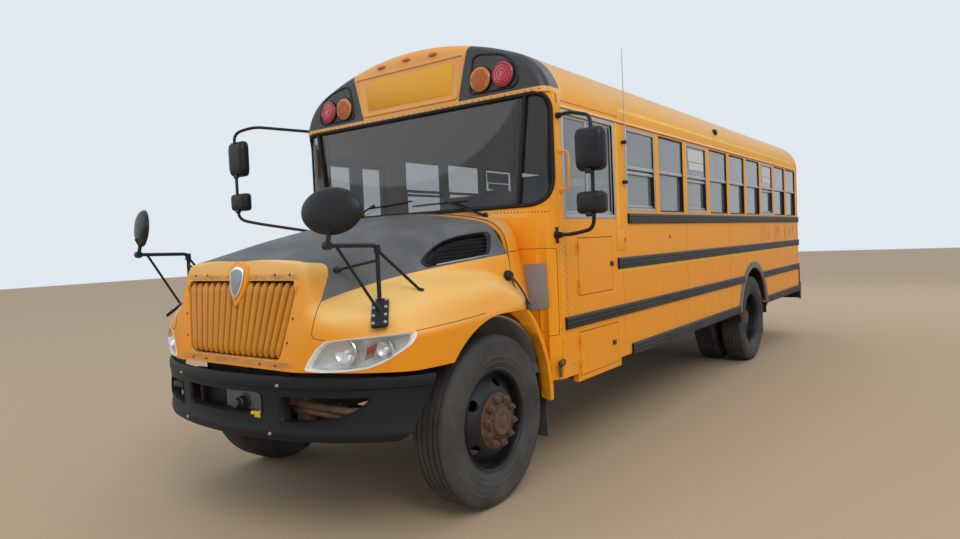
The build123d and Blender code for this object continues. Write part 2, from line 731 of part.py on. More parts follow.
# Frame rails
rail_web = rail_spacing / 2
rail_rear = body_rear_x + wall + 5
rail_front = front_axle_x + 955
rail_section = (
    Pos(rail_web - rail_flange / 2, rail_top - rail_depth / 2) * Rectangle(rail_flange, rail_depth)
    - Pos(rail_web - rail_flange / 2 - rail_wall, rail_top - rail_depth / 2)
    * Rectangle(rail_flange, rail_depth - 2 * rail_wall)
)
rail = along(rail_section, rail_rear, rail_front)
frame = rail + mirror(rail, about=Plane.XZ)
member_pitch = 1100
member_count = int((body_front_x - 500 - rear_axle_x) // member_pitch)
cross_member_x = [rail_rear + 60, (rail_rear + rear_axle_x) / 2, rail_front - 40]
cross_member_x += [rear_axle_x + 700 + index * member_pitch for index in range(member_count)]
for x in cross_member_x:
    frame += block(
        (x - 30, x + 30), (-rail_web + rail_wall, rail_web - rail_wall), (rail_top - 72, rail_top - 12)
    )
for arm in rail_lugs:
    frame += arm
parts["frame_rails"] = frame

# Front bumper: wraps round to the wheels, with a middle opening and two side ones
bumper_z = (597, 945)
bumper_wall = 26
bumper_end_x = front_axle_x + 650
bumper_half = half_width - 14


def bumper_plan(inset):
    """The bumper's outline from above, as (X, Y)."""
    nose = front_axle_x + front_overhang - inset
    half = bumper_half - inset
    face_y = 650 - 0.2 * inset
    face_x = nose - 100
    corner = (front_axle_x + 903 - 0.75 * inset, 955 - 0.66 * inset)
    outline = [
        ThreePointArc((bumper_end_x, -half), (corner[0], -corner[1]), (face_x, -face_y)),
        ThreePointArc((face_x, -face_y), (nose, 0), (face_x, face_y)),
        ThreePointArc((face_x, face_y), corner, (bumper_end_x, half)),
        Line((bumper_end_x, half), (bumper_end_x, -half)),
    ]
    return make_face(outline)


bumper = upward(bumper_plan(0), *bumper_z)
bumper -= upward(bumper_plan(bumper_wall), bumper_z[0] - 1, bumper_z[1] + 1)
bumper_slope = Polyline(
    (bumper_end_x - 1, bumper_z[1]),
    (bumper_end_x + 68, 714),
    (bumper_end_x + 160, bumper_z[0] - 1),
    (bumper_end_x - 1, bumper_z[0] - 1),
    close=True,
)
bumper -= across(make_face(bumper_slope), -2000, 2000)
bumper_hole_z = (728, 853)
bumper -= block((front_axle_x + 950, front_axle_x + 1300), (-345, 345), bumper_hole_z)
side_hole = make_face([
    Line((470, 838), (470, 703)),
    Line((470, 703), (640, 703)),
    ThreePointArc((640, 703), (850, 745), (965, 838)),
    Line((965, 838), (470, 838)),
])
side_cut = along(side_hole, front_axle_x + 850, front_axle_x + 1300)
bumper -= side_cut + mirror(side_cut, about=Plane.XZ)
horn_x = (rail_front, front_axle_x + front_overhang - bumper_wall - 12)
for sign in (1, -1):
    horn_y = sorted((sign * (rail_web - rail_flange), sign * rail_web))
    horn = block(horn_x, horn_y, (bumper_z[0] + 12, bumper_hole_z[0] - 8))
    bumper += horn + block((rail_front, rail_front + 12), horn_y, (bumper_z[0] + 12, 940))
parts["front_bumper"] = bumper

# Rear bumper
rear_bumper_z = (520, 780)
rear_bumper_wall = 10
rear_bumper_x = -overall_length / 2
bumper_clear = 2
rear_bumper = upward(
    plan_face(-rear_bumper_wall - bumper_clear, rear_bumper_x, body_rear_x + plan_corner, False), *rear_bumper_z
)
rear_bumper -= upward(
    plan_face(-bumper_clear, rear_bumper_x + rear_bumper_wall, body_rear_x + plan_corner + 1, False), *rear_bumper_z
)
for sign in (1, -1):
    stub_y = sorted((sign * (rail_web - rail_flange), sign * rail_web))
    rear_bumper += block((rear_bumper_x + 5, rail_rear + 300), stub_y, (rail_top - rail_depth - 75, skirt_z - 5))
    rear_bumper += block(
        (rail_rear + 20, rail_rear + 300), stub_y, (skirt_z - 10, rail_top - rail_depth - seat_gap)
    )
parts["rear_bumper"] = rear_bumper

# Engine with gearbox, and radiator
engine_half = rail_web - rail_flange - seat_gap
engine_x = (body_front_x + 60, front_axle_x + 640)
engine = block(engine_x, (-engine_half, engine_half), (640, 1000))
engine += block((engine_x[0], engine_x[1]), (-engine_half + 60, engine_half - 60), (990, 1430))
engine += block((engine_x[0] - 800, engine_x[0] + 10), (-220, 220), (640, rail_top - 25))
parts["engine_block"] = engine
radiator_x = (front_axle_x + 740, front_axle_x + 830)
parts["radiator"] = block(radiator_x, (-430, 430), (rail_top + seat_gap, 1420))

# Front axle beam, dropped between the kingpins
spring_y = rail_web - rail_flange / 2
spring_half = 38
beam_z = 420
beam = make_face(
    Polyline(
        (-kingpin_y + 30, hub_height - 50),
        (-kingpin_y + 30, hub_height + 50),
        (-spring_y - 120, beam_z + 75),
        (-spring_y - 60, beam_z + 55),
        (spring_y + 60, beam_z + 55),
        (spring_y + 120, beam_z + 75),
        (kingpin_y - 30, hub_height + 50),
        (kingpin_y - 30, hub_height - 50),
        (spring_y + 60, beam_z - 55),
        (-spring_y - 60, beam_z - 55),
        close=True,
    )
)
axle_beam = along(beam, front_axle_x - 50, front_axle_x + 50)
pin_radius = 22
for sign in (1, -1):
    kingpin = Pos(front_axle_x, sign * kingpin_y, hub_height)
    axle_beam += kingpin * Cylinder(45, 110)
    axle_beam += kingpin * Cylinder(pin_radius, 230)
parts["front_axle"] = axle_beam

# Leaf springs: an arched pack from hanger to shackle on each side of each axle
spring_rows = ((front_axle_x, beam_z + 55, 620), (rear_axle_x, hub_height + 95, 720))
rail_low = rail_top - rail_depth
springs = []
for center_x, seat_z, half_length in spring_rows:
    top_z = rail_low - 70
    arch = make_face([
        ThreePointArc((-half_length, top_z), (0, seat_z), (half_length, top_z)),
        Line((half_length, top_z), (half_length, top_z + 45)),
        ThreePointArc((half_length, top_z + 45), (0, seat_z + 75), (-half_length, top_z + 45)),
        Line((-half_length, top_z + 45), (-half_length, top_z)),
    ])
    spring = Pos(center_x, 0, 0) * across(arch, spring_y - spring_half, spring_y + spring_half)
    for end in (-1, 1):
        eye_x = center_x + end * (half_length - 30)
        spring += block(
            (eye_x - 35, eye_x + 35), (spring_y - spring_half, spring_y + spring_half), (top_z, rail_low - seat_gap)
        )
    springs += mirrored(spring)
parts["leaf_springs"] = springs

# Rear axle housing and drive shaft
dual_center_y = rear_dual_outer_y - tyre_width / 2 - dual_spacing / 2
axle_tube_radius = 85
rear_axle = Pos(rear_axle_x, 0, hub_height) * Rot(90, 0, 0) * Cylinder(axle_tube_radius, 2 * (dual_center_y - 100))
carrier = Polyline((0, -170), (130, -170), (205, -95), (205, 95), (130, 170), (0, 170), close=True)
rear_axle += Pos(rear_axle_x, 0, hub_height) * revolve(make_face(carrier), Axis.Y)
rear_axle += Pos(rear_axle_x + 260, 0, hub_height) * Rot(0, 90, 0) * Cylinder(75, 200)
for sign in (1, -1):
    pad_y = sorted((sign * (spring_y - spring_half), sign * (spring_y + spring_half)))
    rear_axle += block((rear_axle_x - 70, rear_axle_x + 70), pad_y, (hub_height, hub_height + 95 - seat_gap))
spindle_radius = 60
spindle_length = dual_center_y + 60
rear_axle += Pos(rear_axle_x, 0, hub_height) * Rot(90, 0, 0) * Cylinder(spindle_radius, 2 * spindle_length)
parts["rear_axle"] = rear_axle
shaft_ends = (rear_axle_x + 360 + seat_gap, engine_x[0] - 800 - seat_gap)
shaft_z = (hub_height, 760)
shaft_radius = 50
drive_shaft = rod((shaft_ends[0] - 50, 0, shaft_z[0]), (shaft_ends[1] + 50, 0, shaft_z[1]), shaft_radius)
parts["drive_shaft"] = drive_shaft & block(shaft_ends, (-200, 200), (0, rail_top))

# Exhaust along the right rail, fuel tank, battery box
exhaust_y = -rail_web - 85
exhaust_z = rail_low + 60
exhaust = tube(
    [
        (entry_x[0] - 80, exhaust_y, exhaust_z),
        (body_rear_x + 665, exhaust_y, exhaust_z),
        (body_rear_x + 415, exhaust_y, exhaust_z - 120),
        (body_rear_x + 65, exhaust_y, exhaust_z - 120),
    ],
    100,
    45,
)
exhaust += Pos(rear_axle_x + 1700, exhaust_y, exhaust_z) * Rot(0, 90, 0) * Cylinder(80, 900)
hanger_y = (-rail_web - 60, -rail_web - seat_gap)
for hanger_x in (entry_x[0] - 200, rear_axle_x + 1500, body_rear_x + 765):
    exhaust += block((hanger_x - 15, hanger_x + 15), hanger_y, (exhaust_z - 75, exhaust_z + 45))
parts["exhaust"] = exhaust
tank_length = 1400
tank_x = (rear_axle_x + 1017, rear_axle_x + 1017 + tank_length)
tank = block(tank_x, (-half_width + 70, -rail_web - 220), (400, 880))
tank = fillet(tank.edges().filter_by(Axis.X), 60)
for strap_x in (tank_x[0] + 250, tank_x[1] - 250):
    tank += block((strap_x - 30, strap_x + 30), (-half_width + 200, -rail_web - 240), (870, rail_top - seat_gap))
parts["fuel_tank"] = tank
box_x = (battery_x[0] + 10, battery_x[1] - 10)
box_y = (rail_web + 120, inside_y - seat_gap)
battery_box = block(box_x, box_y, (battery_drop_z + 10, rail_top - seat_gap))
battery_box -= block((box_x[0] + 20, box_x[1] - 20), (box_y[0] + 20, half_width), (battery_z[0] + 10, battery_z[1] - 30))
battery_box += block(
    (box_x[0] + 60, box_x[1] - 60), (box_y[0] + 60, box_y[1] - 60), (battery_z[0] + 5, battery_z[0] + 190)
)
parts["battery_box"] = battery_box

# Knuckles, tie rod and wheels
stub_radius = 38
front_wheel_y = front_track / 2
arm_drop = 147
tie_z = hub_height - arm_drop
tie_radius = 18
tie_y = kingpin_y
bolt_radius = 11


def knuckle(sign):
    """A steering knuckle with its stub axle and steering arm."""
    y = sign * kingpin_y
    solid = Pos(front_axle_x, y, hub_height) * Cylinder(44, 250)
    solid -= Pos(front_axle_x, y, hub_height) * Cylinder(60, 112)
    solid += block((front_axle_x - 44, front_axle_x + 44), sorted((y + sign * 56, y + sign * 84)), (425, 625))
    for z in (hub_height + 78, hub_height - 78):
        solid += block(
            (front_axle_x - 44, front_axle_x + 44), sorted((y, y + sign * 84)), (z - 22, z + 22)
        )
    solid -= Pos(front_axle_x, y, hub_height) * Cylinder(pin_radius + pin_clearance, 400)
    stub = rod((front_axle_x, y + sign * 80, hub_height), (front_axle_x, y + sign * 215, hub_height), stub_radius)
    arm = block(
        (front_axle_x - steer_arm - 22, front_axle_x - 25),
        sorted((sign * (tie_y - 24), sign * (tie_y + 24))),
        (tie_z + 22, tie_z + 44),
    )
    hole = Pos(front_axle_x - steer_arm, sign * tie_y, tie_z) * Cylinder(bolt_radius + pin_clearance, 200)
    return solid + stub + (arm - hole)


parts["knuckle_left"] = knuckle(1)
parts["knuckle_right"] = mirror(knuckle(1), about=Plane.XZ)
tie_x = front_axle_x - steer_arm
tie_rod = rod((tie_x, -tie_y, tie_z), (tie_x, tie_y, tie_z), tie_radius)
for sign in (1, -1):
    tie_rod += Pos(tie_x, sign * tie_y, tie_z) * Cylinder(21.5, 43)
    tie_rod += Pos(tie_x, sign * tie_y, tie_z + 33) * Cylinder(bolt_radius, 30)
parts["tie_rod"] = tie_rod


def tyre(ribs):
    """A tyre with round shoulders and, in front, straight grooves."""
    half = tyre_width / 2
    bead = rim_radius - 14 + seat_gap
    side = (
        (bead, half - 35),
        (rim_radius + 11, half - 35),
        (rim_radius + 40, half - 12),
        (400, half - 2),
        (450, half),
        (tyre_radius - 35, half - 12),
        (tyre_radius - 14, half - 25),
        (tyre_radius, half - 46),
    )
    other = tuple((radius, -y) for radius, y in reversed(side))
    section = make_face(Polyline(*side, *other, close=True))
    for index in range(ribs):
        groove_y = (index - (ribs - 1) / 2) * 46
        section -= Pos(tyre_radius - 6, groove_y) * Rectangle(14, 9)
    return section


def wheel_section(disc_y, bore):
    """Half of a steel disc wheel's section, the disc at disc_y from its middle."""
    half = tyre_width / 2 - 35 + seat_gap
    rim = Pos(rim_radius - 21, 0) * Rectangle(14, 2 * half + 20)
    for end in (-1, 1):
        rim += Pos(rim_radius - 7, end * (half + 5)) * Rectangle(34, 10)
    disc = make_face(
        Polyline(
            (bore, disc_y),
            (190, disc_y),
            (rim_radius - 26, disc_y * 0.35),
            (rim_radius - 26, disc_y * 0.35 - 12),
            (184, disc_y - 12),
            (bore, disc_y - 12),
            close=True,
        )
    )
    return rim + disc


def hub_form(inner, outer, flange, nose, bore):
    """Half of a hub's section: a drum from inner to outer and a nose beyond."""
    return make_face(
        Polyline(
            (bore, inner), (flange, inner), (flange, outer), (85, outer), (80, nose), (bore, nose), close=True
        )
    )


def hand_hole_cuts(x, y, length):
    """The oval holes of a disc wheel, as one group of cutters."""
    cuts = None
    for index in range(hand_holes):
        spot = Pos(x, y, hub_height) * Rot(0, 360 / hand_holes * (index + 0.5), 0) * Pos(232, 0, 0)
        cut = spot * Rot(90, 0, 0) * Cylinder(hand_hole_radius, length)
        cuts = cut if cuts is None else cuts + cut
    return cuts


disc_reach = 118  # front disc from the tyre's middle
dual_reach = 125  # rear discs from their tyres' middle
hub_nose = 60  # front hub beyond its disc
stub_bore = stub_radius + pin_clearance
spindle_bore = spindle_radius + pin_clearance
front_rim = turned(wheel_section(disc_reach, stub_bore), front_axle_x, front_wheel_y, hub_height)
front_hub = hub_form(-75, disc_reach - 8, 130, disc_reach + hub_nose, stub_bore)
front_rim += turned(front_hub, front_axle_x, front_wheel_y, hub_height)
front_rim -= hand_hole_cuts(front_axle_x, front_wheel_y, 2 * tyre_width)
outer_y = dual_center_y + dual_spacing / 2
inner_y = dual_center_y - dual_spacing / 2
rear_rim = turned(wheel_section(-dual_reach, spindle_bore), rear_axle_x, outer_y, hub_height)
rear_rim += turned(wheel_section(dual_reach, spindle_bore), rear_axle_x, inner_y, hub_height)
rear_rim += turned(hub_form(-45, 45, 140, 150, spindle_bore), rear_axle_x, dual_center_y, hub_height)
rear_rim -= hand_hole_cuts(rear_axle_x, dual_center_y, 2.2 * tyre_width)
front_tyre = turned(tyre(4), front_axle_x, front_wheel_y, hub_height)
rear_tyres = [turned(tyre(0), rear_axle_x, place, hub_height) for place in (outer_y, inner_y)]
for name, shape in (
    ("tyre_front", front_tyre),
    ("wheel_front", front_rim),
    ("tyres_rear", rear_tyres),
    ("wheels_rear", rear_rim),
):
    parts[f"{name}_left"] = shape
    if isinstance(shape, list):
        parts[f"{name}_right"] = [mirror(solid, about=Plane.XZ) for solid in shape]
    else:
        parts[f"{name}_right"] = mirror(shape, about=Plane.XZ)

# Seats
seat_pitch = 700
first_seat_x = first_window_x - 5
seat_rows = int((first_seat_x - 300 - body_rear_x - wall - 100) // seat_pitch) + 1
bench_width = 960
bench_back_z = floor_top + 1090


def bench(x, y0):
    """A passenger bench: cushion, leaning back and two legs."""
    y1 = y0 + bench_width
    solid = block((x - 200, x + 220), (y0, y1), (floor_top + 330, floor_top + 450))
    back = make_face(
        Polyline(
            (x - 215, floor_top + 340),
            (x - 130, floor_top + 340),
            (x - 200, bench_back_z),
            (x - 270, bench_back_z),
            close=True,
        )
    )
    solid += across(back, y0, y1)
    for y in (y0 + 60, y1 - 90):
        solid += block((x - 150, x + 170), (y, y + 30), (floor_top + seat_gap, floor_top + 335))
    return solid


benches = []
for index in range(seat_rows):
    seat_x = first_seat_x - index * seat_pitch
    lift = abs(seat_x - rear_axle_x) < arch_radius + 150
    bench_y = inside_y - bench_width - 30
    solid = bench(seat_x, bench_y)
    if lift:
        solid -= across(Pos(rear_axle_x, arch_center_z) * Circle(arch_radius + 20 + seat_gap), 0, half_width)
    benches += mirrored(solid)
parts["passenger_seats"] = benches
driver_y = 560
driver_x = body_front_x - 695
driver_seat_z = floor_top + 420
driver_back_z = floor_top + 1140
driver_half = 235
driver_seat = block(
    (driver_x - 230, driver_x + 230), (driver_y - driver_half, driver_y + driver_half), (driver_seat_z, driver_seat_z + 110)
)
driver_back = make_face(
    Polyline(
        (driver_x - 300, driver_seat_z + 10),
        (driver_x - 200, driver_seat_z + 10),
        (driver_x - 260, driver_back_z),
        (driver_x - 350, driver_back_z),
        close=True,
    )
)
driver_seat += across(driver_back, driver_y - driver_half + 5, driver_y + driver_half - 5)
driver_seat += block(
    (driver_x - 130, driver_x + 130), (driver_y - 130, driver_y + 130), (floor_top + seat_gap, driver_seat_z + 5)
)
parts["driver_seat"] = driver_seat
dash_x = body_front_x - wall - seat_gap
dash = make_face(
    Polyline(
        (dash_x, 1300), (dash_x, windshield_sill_z - 12), (dash_x - 330, windshield_sill_z - 60),
        (dash_x - 380, 1650), (dash_x - 200, 1300), close=True,
    )
)
dashboard = across(dash, -350, inside_y - 130)
column = rod((dash_x - 250, driver_y, 1500), (dash_x - 430, driver_y, 1880), 28)
dashboard += column
parts["dashboard"] = dashboard
column_line = Line((dash_x - 250, driver_y, 1500), (dash_x - 430, driver_y, 1880))
hub_half = 15
wheel_center = column_line @ 1 + (column_line % 1) * (hub_half + seat_gap)
wheel_plane = Plane(origin=wheel_center, z_dir=column_line % 1)
steering_wheel = wheel_plane * Torus(225, 15)
steering_wheel += wheel_plane * Cylinder(50, 2 * hub_half)
for spoke in (0, 120, 240):
    steering_wheel += wheel_plane * Rot(0, 0, spoke) * Pos(125, 0, 0) * Box(210, 26, 12)
parts["steering_wheel"] = steering_wheel

# Lamps on front and rear caps: Y, Z, radius
warning_rows = ((884, 2760), (693, 2757))
lamp_radius = 92
warning = []
for y, z in warning_rows:
    for sign in (1, -1):
        for face_x, out in ((body_front_x, 1), (body_rear_x, -1)):
            ends = sorted((face_x + out * seat_gap, face_x + out * 34))
            warning.append(along(Pos(sign * y, z) * Circle(lamp_radius), *ends))
parts["warning_lamps"] = warning
marker_half = (42, 16)
marker_rows = ((0, 3029), (264, 3018), (-264, 3018))
markers = []
for y, z in marker_rows:
    for face_x, out, cap in ((body_front_x, 1, "front_cap"), (body_rear_x, -1, "roof")):
        ends = sorted((face_x - out * 15, face_x + out * 22))
        markers.append(along(Pos(y, z) * Ellipse(*marker_half), *ends) - parts[cap])
tail_rows = ((1000, 1540, 90), (1000, 1290, 60), (780, 1290, 60))
for y, z, radius in tail_rows:
    for sign in (1, -1):
        markers.append(along(Pos(sign * y, z) * Circle(radius), body_rear_x - 30, body_rear_x - seat_gap))
parts["marker_lamps"] = markers

# Side mirrors on bent tubes: mount points, tube points and heads from the front axle
mirror_reach = 1550
mirror_tube = 12


def mirror_head(x, y, z, width, height):
    """A mirror housing with round edges."""
    return fillet((Pos(x, y, z) * Box(80, width, height)).edges(), 32)


left_x = front_axle_x - 515
left_mirror = tube(
    [
        (front_axle_x - 690, half_width - 30, 2455),
        (front_axle_x - 690, half_width + 90, 2460),
        (left_x, mirror_reach, 2435),
        (left_x, mirror_reach, 1690),
        (front_axle_x - 600, half_width + 130, 1643),
        (front_axle_x - 655, half_width - 40, 1643),
    ],
    40,
    mirror_tube,
)
left_mirror += mirror_head(left_x + 25, mirror_reach, 2185, 210, 290)
left_mirror += mirror_head(left_x + 25, mirror_reach, 1840, 210, 150)
right_x = front_axle_x - 150
right_mirror = tube(
    [
        (front_axle_x - 640, -half_width + 89, 2640),
        (right_x - 120, -mirror_reach + 120, 2690),
        (right_x, -mirror_reach, 2640),
        (right_x, -mirror_reach, 1900),
        (right_x - 150, -mirror_reach + 80, 1860),
        (front_axle_x - 640, -half_width + 89, 1760),
    ],
    50,
    mirror_tube,
)
right_mirror += mirror_head(right_x - 25, -mirror_reach, 2420, 210, 300)
right_mirror += mirror_head(right_x - 25, -mirror_reach, 2050, 210, 150)
body_form = upward(plan_face(-seat_gap, 0, body_front_x + seat_gap, True), 400, gutter_z + 250)
parts["side_mirrors"] = [
    side - body_form - parts["cowl"] - parts["front_cap"] for side in (left_mirror, right_mirror)
]

# Wipers, antenna with grab handle, mud flaps
wiper_arm = 9
wipers = []
for pivot_y in (330, -430):
    pivot = (body_front_x + 22, pivot_y, windshield_sill_z - 2)
    tip = (body_front_x + 16, pivot_y + 420, windshield_sill_z + 60)
    wiper = rod((body_front_x + seat_gap, *pivot[1:]), (body_front_x + 34, *pivot[1:]), 16)
    wiper += rod(pivot, tip, wiper_arm)
    wiper += rod((tip[0], tip[1] - 330, tip[2] - 28), (tip[0], tip[1] + 180, tip[2] + 20), wiper_arm)
    wipers.append(wiper)
parts["wipers"] = wipers
antenna_x = front_axle_x - 1715
antenna_y = half_width + 32
antenna = rod((antenna_x, antenna_y, 2000), (antenna_x, antenna_y, crown_z + 5), 5)
for clamp_z in (2015, 2326):
    antenna += block((antenna_x - 12, antenna_x + 12), (half_width + seat_gap, antenna_y + 10), (clamp_z - 10, clamp_z + 10))
handle_x = front_axle_x - 715
handle = tube(
    [
        (handle_x, half_width + seat_gap, 2210),
        (handle_x, half_width + 60, 2210),
        (handle_x, half_width + 60, 1950),
        (handle_x, half_width + seat_gap, 1950),
    ],
    30,
    11,
)
parts["side_fittings"] = [antenna, handle]
flap_thick = 9
flap_hang_z = (wheel_sweep_z + 15, wheel_sweep_z + 60)
front_flap_x = front_axle_x - front_arch_radius + 10
front_flap_y = (tail_y[0] - 300, tail_y[0] - seat_gap)
front_flap = block((front_flap_x, front_flap_x + flap_thick), front_flap_y, (262, flap_hang_z[1]))
front_flap += block((front_flap_x, body_front_x - wall - seat_gap), front_flap_y, flap_hang_z)
rear_flap_x = rear_axle_x - arch_radius - 30
rear_flap_y = (inside_y - 564, inside_y - 14)
rear_flap = block((rear_flap_x, rear_flap_x + flap_thick), rear_flap_y, (250, rail_top - seat_gap))
flaps = mirrored(front_flap) + mirrored(rear_flap)
parts["mud_flaps"] = flaps

# Export
os.makedirs("parts", exist_ok=True)
for name, shape in parts.items():
    solids = shape if isinstance(shape, list) else [shape]
    export_step(Compound(children=solids) if len(solids) > 1 else solids[0], f"parts/{name}.step")
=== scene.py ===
import bpy, bmesh, math
from mathutils import Vector, Matrix
from mathutils.bvhtree import BVHTree


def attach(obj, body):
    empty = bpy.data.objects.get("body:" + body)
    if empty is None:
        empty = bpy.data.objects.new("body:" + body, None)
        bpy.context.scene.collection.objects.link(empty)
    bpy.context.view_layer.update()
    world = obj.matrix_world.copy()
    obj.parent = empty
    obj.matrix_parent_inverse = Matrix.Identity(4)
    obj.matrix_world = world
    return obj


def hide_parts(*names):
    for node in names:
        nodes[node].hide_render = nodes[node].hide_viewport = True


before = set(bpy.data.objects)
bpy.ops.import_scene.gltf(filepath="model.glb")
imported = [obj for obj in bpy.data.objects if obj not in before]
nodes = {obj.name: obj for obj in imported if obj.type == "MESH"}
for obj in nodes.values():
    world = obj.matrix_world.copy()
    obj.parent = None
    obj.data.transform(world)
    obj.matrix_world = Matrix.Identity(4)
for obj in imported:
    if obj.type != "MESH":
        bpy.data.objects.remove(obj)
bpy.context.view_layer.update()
print("frame loaded:", len(nodes), "nodes")

axleX, rearAxleX, hubZ = 3.595, -1.917, 0.525  # front axle, rear axle, wheel centres
halfWidth, bodyFrontX, bodyRearX = 1.219, 3.025, -4.665

# camera at the photograph's view
cameraLook = {"place": (6.950, 3.502, 1.616), "yaw": 3.7763, "pitch": -0.0398, "roll": -0.0434, "lens": 25.495,
              "sensor": 36.0, "pixels": (960, 539)}
camData = bpy.data.cameras.new("photoCamera")
camData.lens, camData.sensor_width = cameraLook["lens"], cameraLook["sensor"]
cam = bpy.data.objects.new("photoCamera", camData)
bpy.context.collection.objects.link(cam)
yaw, pitch, roll = cameraLook["yaw"], cameraLook["pitch"], cameraLook["roll"]
ahead = Vector((math.cos(pitch) * math.cos(yaw), math.cos(pitch) * math.sin(yaw), math.sin(pitch)))
level = ahead.cross(Vector((0, 0, 1))).normalized()
upright = level.cross(ahead)
right = math.cos(roll) * level + math.sin(roll) * upright
up = -math.sin(roll) * level + math.cos(roll) * upright
eye = Vector(cameraLook["place"])
focalPixels = cameraLook["pixels"][0] * cameraLook["lens"] / cameraLook["sensor"]
cam.matrix_world = Matrix.Translation(eye) @ Matrix((right, up, -ahead)).transposed().to_4x4()
bpy.context.scene.camera = cam
bpy.context.scene.view_settings.view_transform = "Standard"
print("camera set")


# shader helper: sockets with operators
class Sock:
    def __init__(self, mat, socket):
        self.mat, self.socket = mat, socket

    def math(self, operation, *others):
        return self.mat.node("ShaderNodeMath", {"operation": operation}, self, *others)

    def __add__(self, other): return self.math("ADD", other)
    def __sub__(self, other): return self.math("SUBTRACT", other)
    def __mul__(self, other): return self.math("MULTIPLY", other)
    def __rsub__(self, other): return self.mat.node("ShaderNodeMath", {"operation": "SUBTRACT"}, other, self)
    __radd__, __rmul__ = __add__, __mul__
    def clamp(self): return self.mat.node("ShaderNodeClamp", {}, self)
    def step(self, low, high):  # smooth 0..1 between two values
        return self.mat.node("ShaderNodeMapRange", {"interpolation_type": "SMOOTHSTEP"}, self, low, high, 0.0, 1.0)


class Mat:
    def __init__(self, name):
        self.mat = bpy.data.materials.new(name)
        self.mat.use_nodes = True
        self.tree = self.mat.node_tree
        self.shader = self.tree.nodes["Principled BSDF"]
        self.coordNode = None

    def node(self, kind, settings, *values, **named):
        made = self.tree.nodes.new(kind)
        for key, value in settings.items():
            setattr(made, key, value)
        for key, value in [*enumerate(values), *named.items()]:
            self.feed(made.inputs[key], value)
        return Sock(self, made.outputs[0])

    def feed(self, socket, value):
        if isinstance(value, Sock):
            self.tree.links.new(value.socket, socket)
            return
        if socket.type == "RGBA" and len(value) == 3:
            value = (*value, 1)
        socket.default_value = value

    def coords(self, output):
        if self.coordNode is None:
            self.coordNode = self.tree.nodes.new("ShaderNodeTexCoord")
        return Sock(self, self.coordNode.outputs[output])

    def axes(self, output="Object"):
        split = self.node("ShaderNodeSeparateXYZ", {}, self.coords(output)).socket.node
        return [Sock(self, socket) for socket in split.outputs]

    def upward(self, low, high):  # 0..1 as the surface turns to the sky
        return self.axes("Normal")[2].step(low, high)

    def stretched(self, stretch):
        return self.node("ShaderNodeMapping", {}, self.coords("Object"), Scale=stretch)

    def noise(self, scale, detail, rough, stretch=(1, 1, 1)):
        return self.node("ShaderNodeTexNoise", {}, Vector=self.stretched(stretch), Scale=scale, Detail=detail, Roughness=rough)

    def cells(self, scale, rand):
        return self.node("ShaderNodeTexVoronoi", {"feature": "F1"}, Vector=self.stretched((1, 1, 1)), Scale=scale, Randomness=rand)

    def mix(self, factor, first, second):
        made = self.node("ShaderNodeMix", {"data_type": "RGBA"}, Factor=factor, A=first, B=second).socket.node
        return Sock(self, made.outputs["Result"])

    def bump(self, height, strength, distance, **under):
        return self.node("ShaderNodeBump", {}, Height=height, Strength=strength, Distance=distance, **under)

    def set(self, **named):
        for key, value in named.items():
            self.feed(self.shader.inputs[key.replace("_", " ")], value)
        return self.mat


def shade(color, share):
    return tuple(c * share for c in color)


def wear(m, z, color, amount=1.0):  # dust low on the body, soft stains, fine speckle
    low = 1 - z.step(0.35, 1.05)
    blots = m.noise(2.2, 6.0, 0.62).step(0.46, 0.74)
    speck = m.noise(38.0, 3.0, 0.6).step(0.56, 0.72)
    mask = (low * (0.15 + 0.85 * blots) * 0.26 + blots * 0.05 + speck * 0.04) * amount
    return m.mix(mask.clamp(), color, paintLook["dust"])


# paints
paintLook = {
    "lower": (0.86, 0.305, 0.003), "upper": (0.88, 0.385, 0.036), "roof": (0.66, 0.38, 0.15), "chalkAndSkyLight": (0.86, 0.56, 0.20),
    "upwardChalkAndSkyLight": (0.62, 0.42, 0.20), "stain": (0.36, 0.15, 0.035), "rust": (0.30, 0.10, 0.022), "dust": (0.38, 0.24, 0.10),
    "black": (0.009, 0.0095, 0.011), "blackDust": (0.085, 0.085, 0.085), "scratch": (0.22, 0.22, 0.22),
}


def makeYellow(name, chalkAndSkyLight=1.0, tone=1.0):
    m = Mat(name)
    x, y, z = m.axes()
    cloud = m.noise(1.1, 5.0, 0.6)
    fine = m.noise(9.0, 5.0, 0.6)
    high = (z + (cloud - 0.5) * 0.35).step(1.15, 2.35)
    top = (z + (cloud - 0.5) * 0.2).step(2.45, 3.0)
    base = m.mix(high * 0.8 * chalkAndSkyLight, shade(paintLook["lower"], tone), paintLook["upper"])
    base = m.mix(top * chalkAndSkyLight, base, paintLook["roof"])
    # paler where the surface faces up: partly chalky sun-faded paint, partly painted sky light on the up-facing faces
    base = m.mix(m.upward(0.10, 0.95) * (0.55 + 0.35 * cloud), base, paintLook["upwardChalkAndSkyLight"])
    base = m.mix(fine.step(0.35, 0.75) * 0.14, base, shade(paintLook["upper"], 1.12))
    streak = m.noise(1.0, 4.0, 0.65, (14, 14, 0.9)).step(0.58, 0.82)
    base = m.mix(streak * 0.16, base, paintLook["stain"])
    rustBand = (1 - x.step(-3.6, -1.3)) * x.step(-4.64, -4.60) * z.step(1.455, 1.50) * (1 - z.step(1.62, 1.70))
    rustSpots = m.noise(5.0, 7.0, 0.75, (1, 1, 0.4)).step(0.46, 0.64)
    base = m.mix((rustBand * rustSpots * 0.75).clamp(), base, paintLook["rust"])
    wave = m.bump(m.noise(1.6, 2.0, 0.5), 0.35, 0.012)
    peel = m.bump(m.noise(160.0, 2.0, 0.5), 0.06, 0.0008, Normal=wave)
    rough = 0.34 + 0.22 * high + 0.12 * fine
    return m.set(Base_Color=wear(m, z, base), Roughness=(rough + 0.08).clamp(), Normal=peel, Specular_IOR_Level=0.28,
                 Coat_Weight=0.04, Coat_Roughness=0.25)


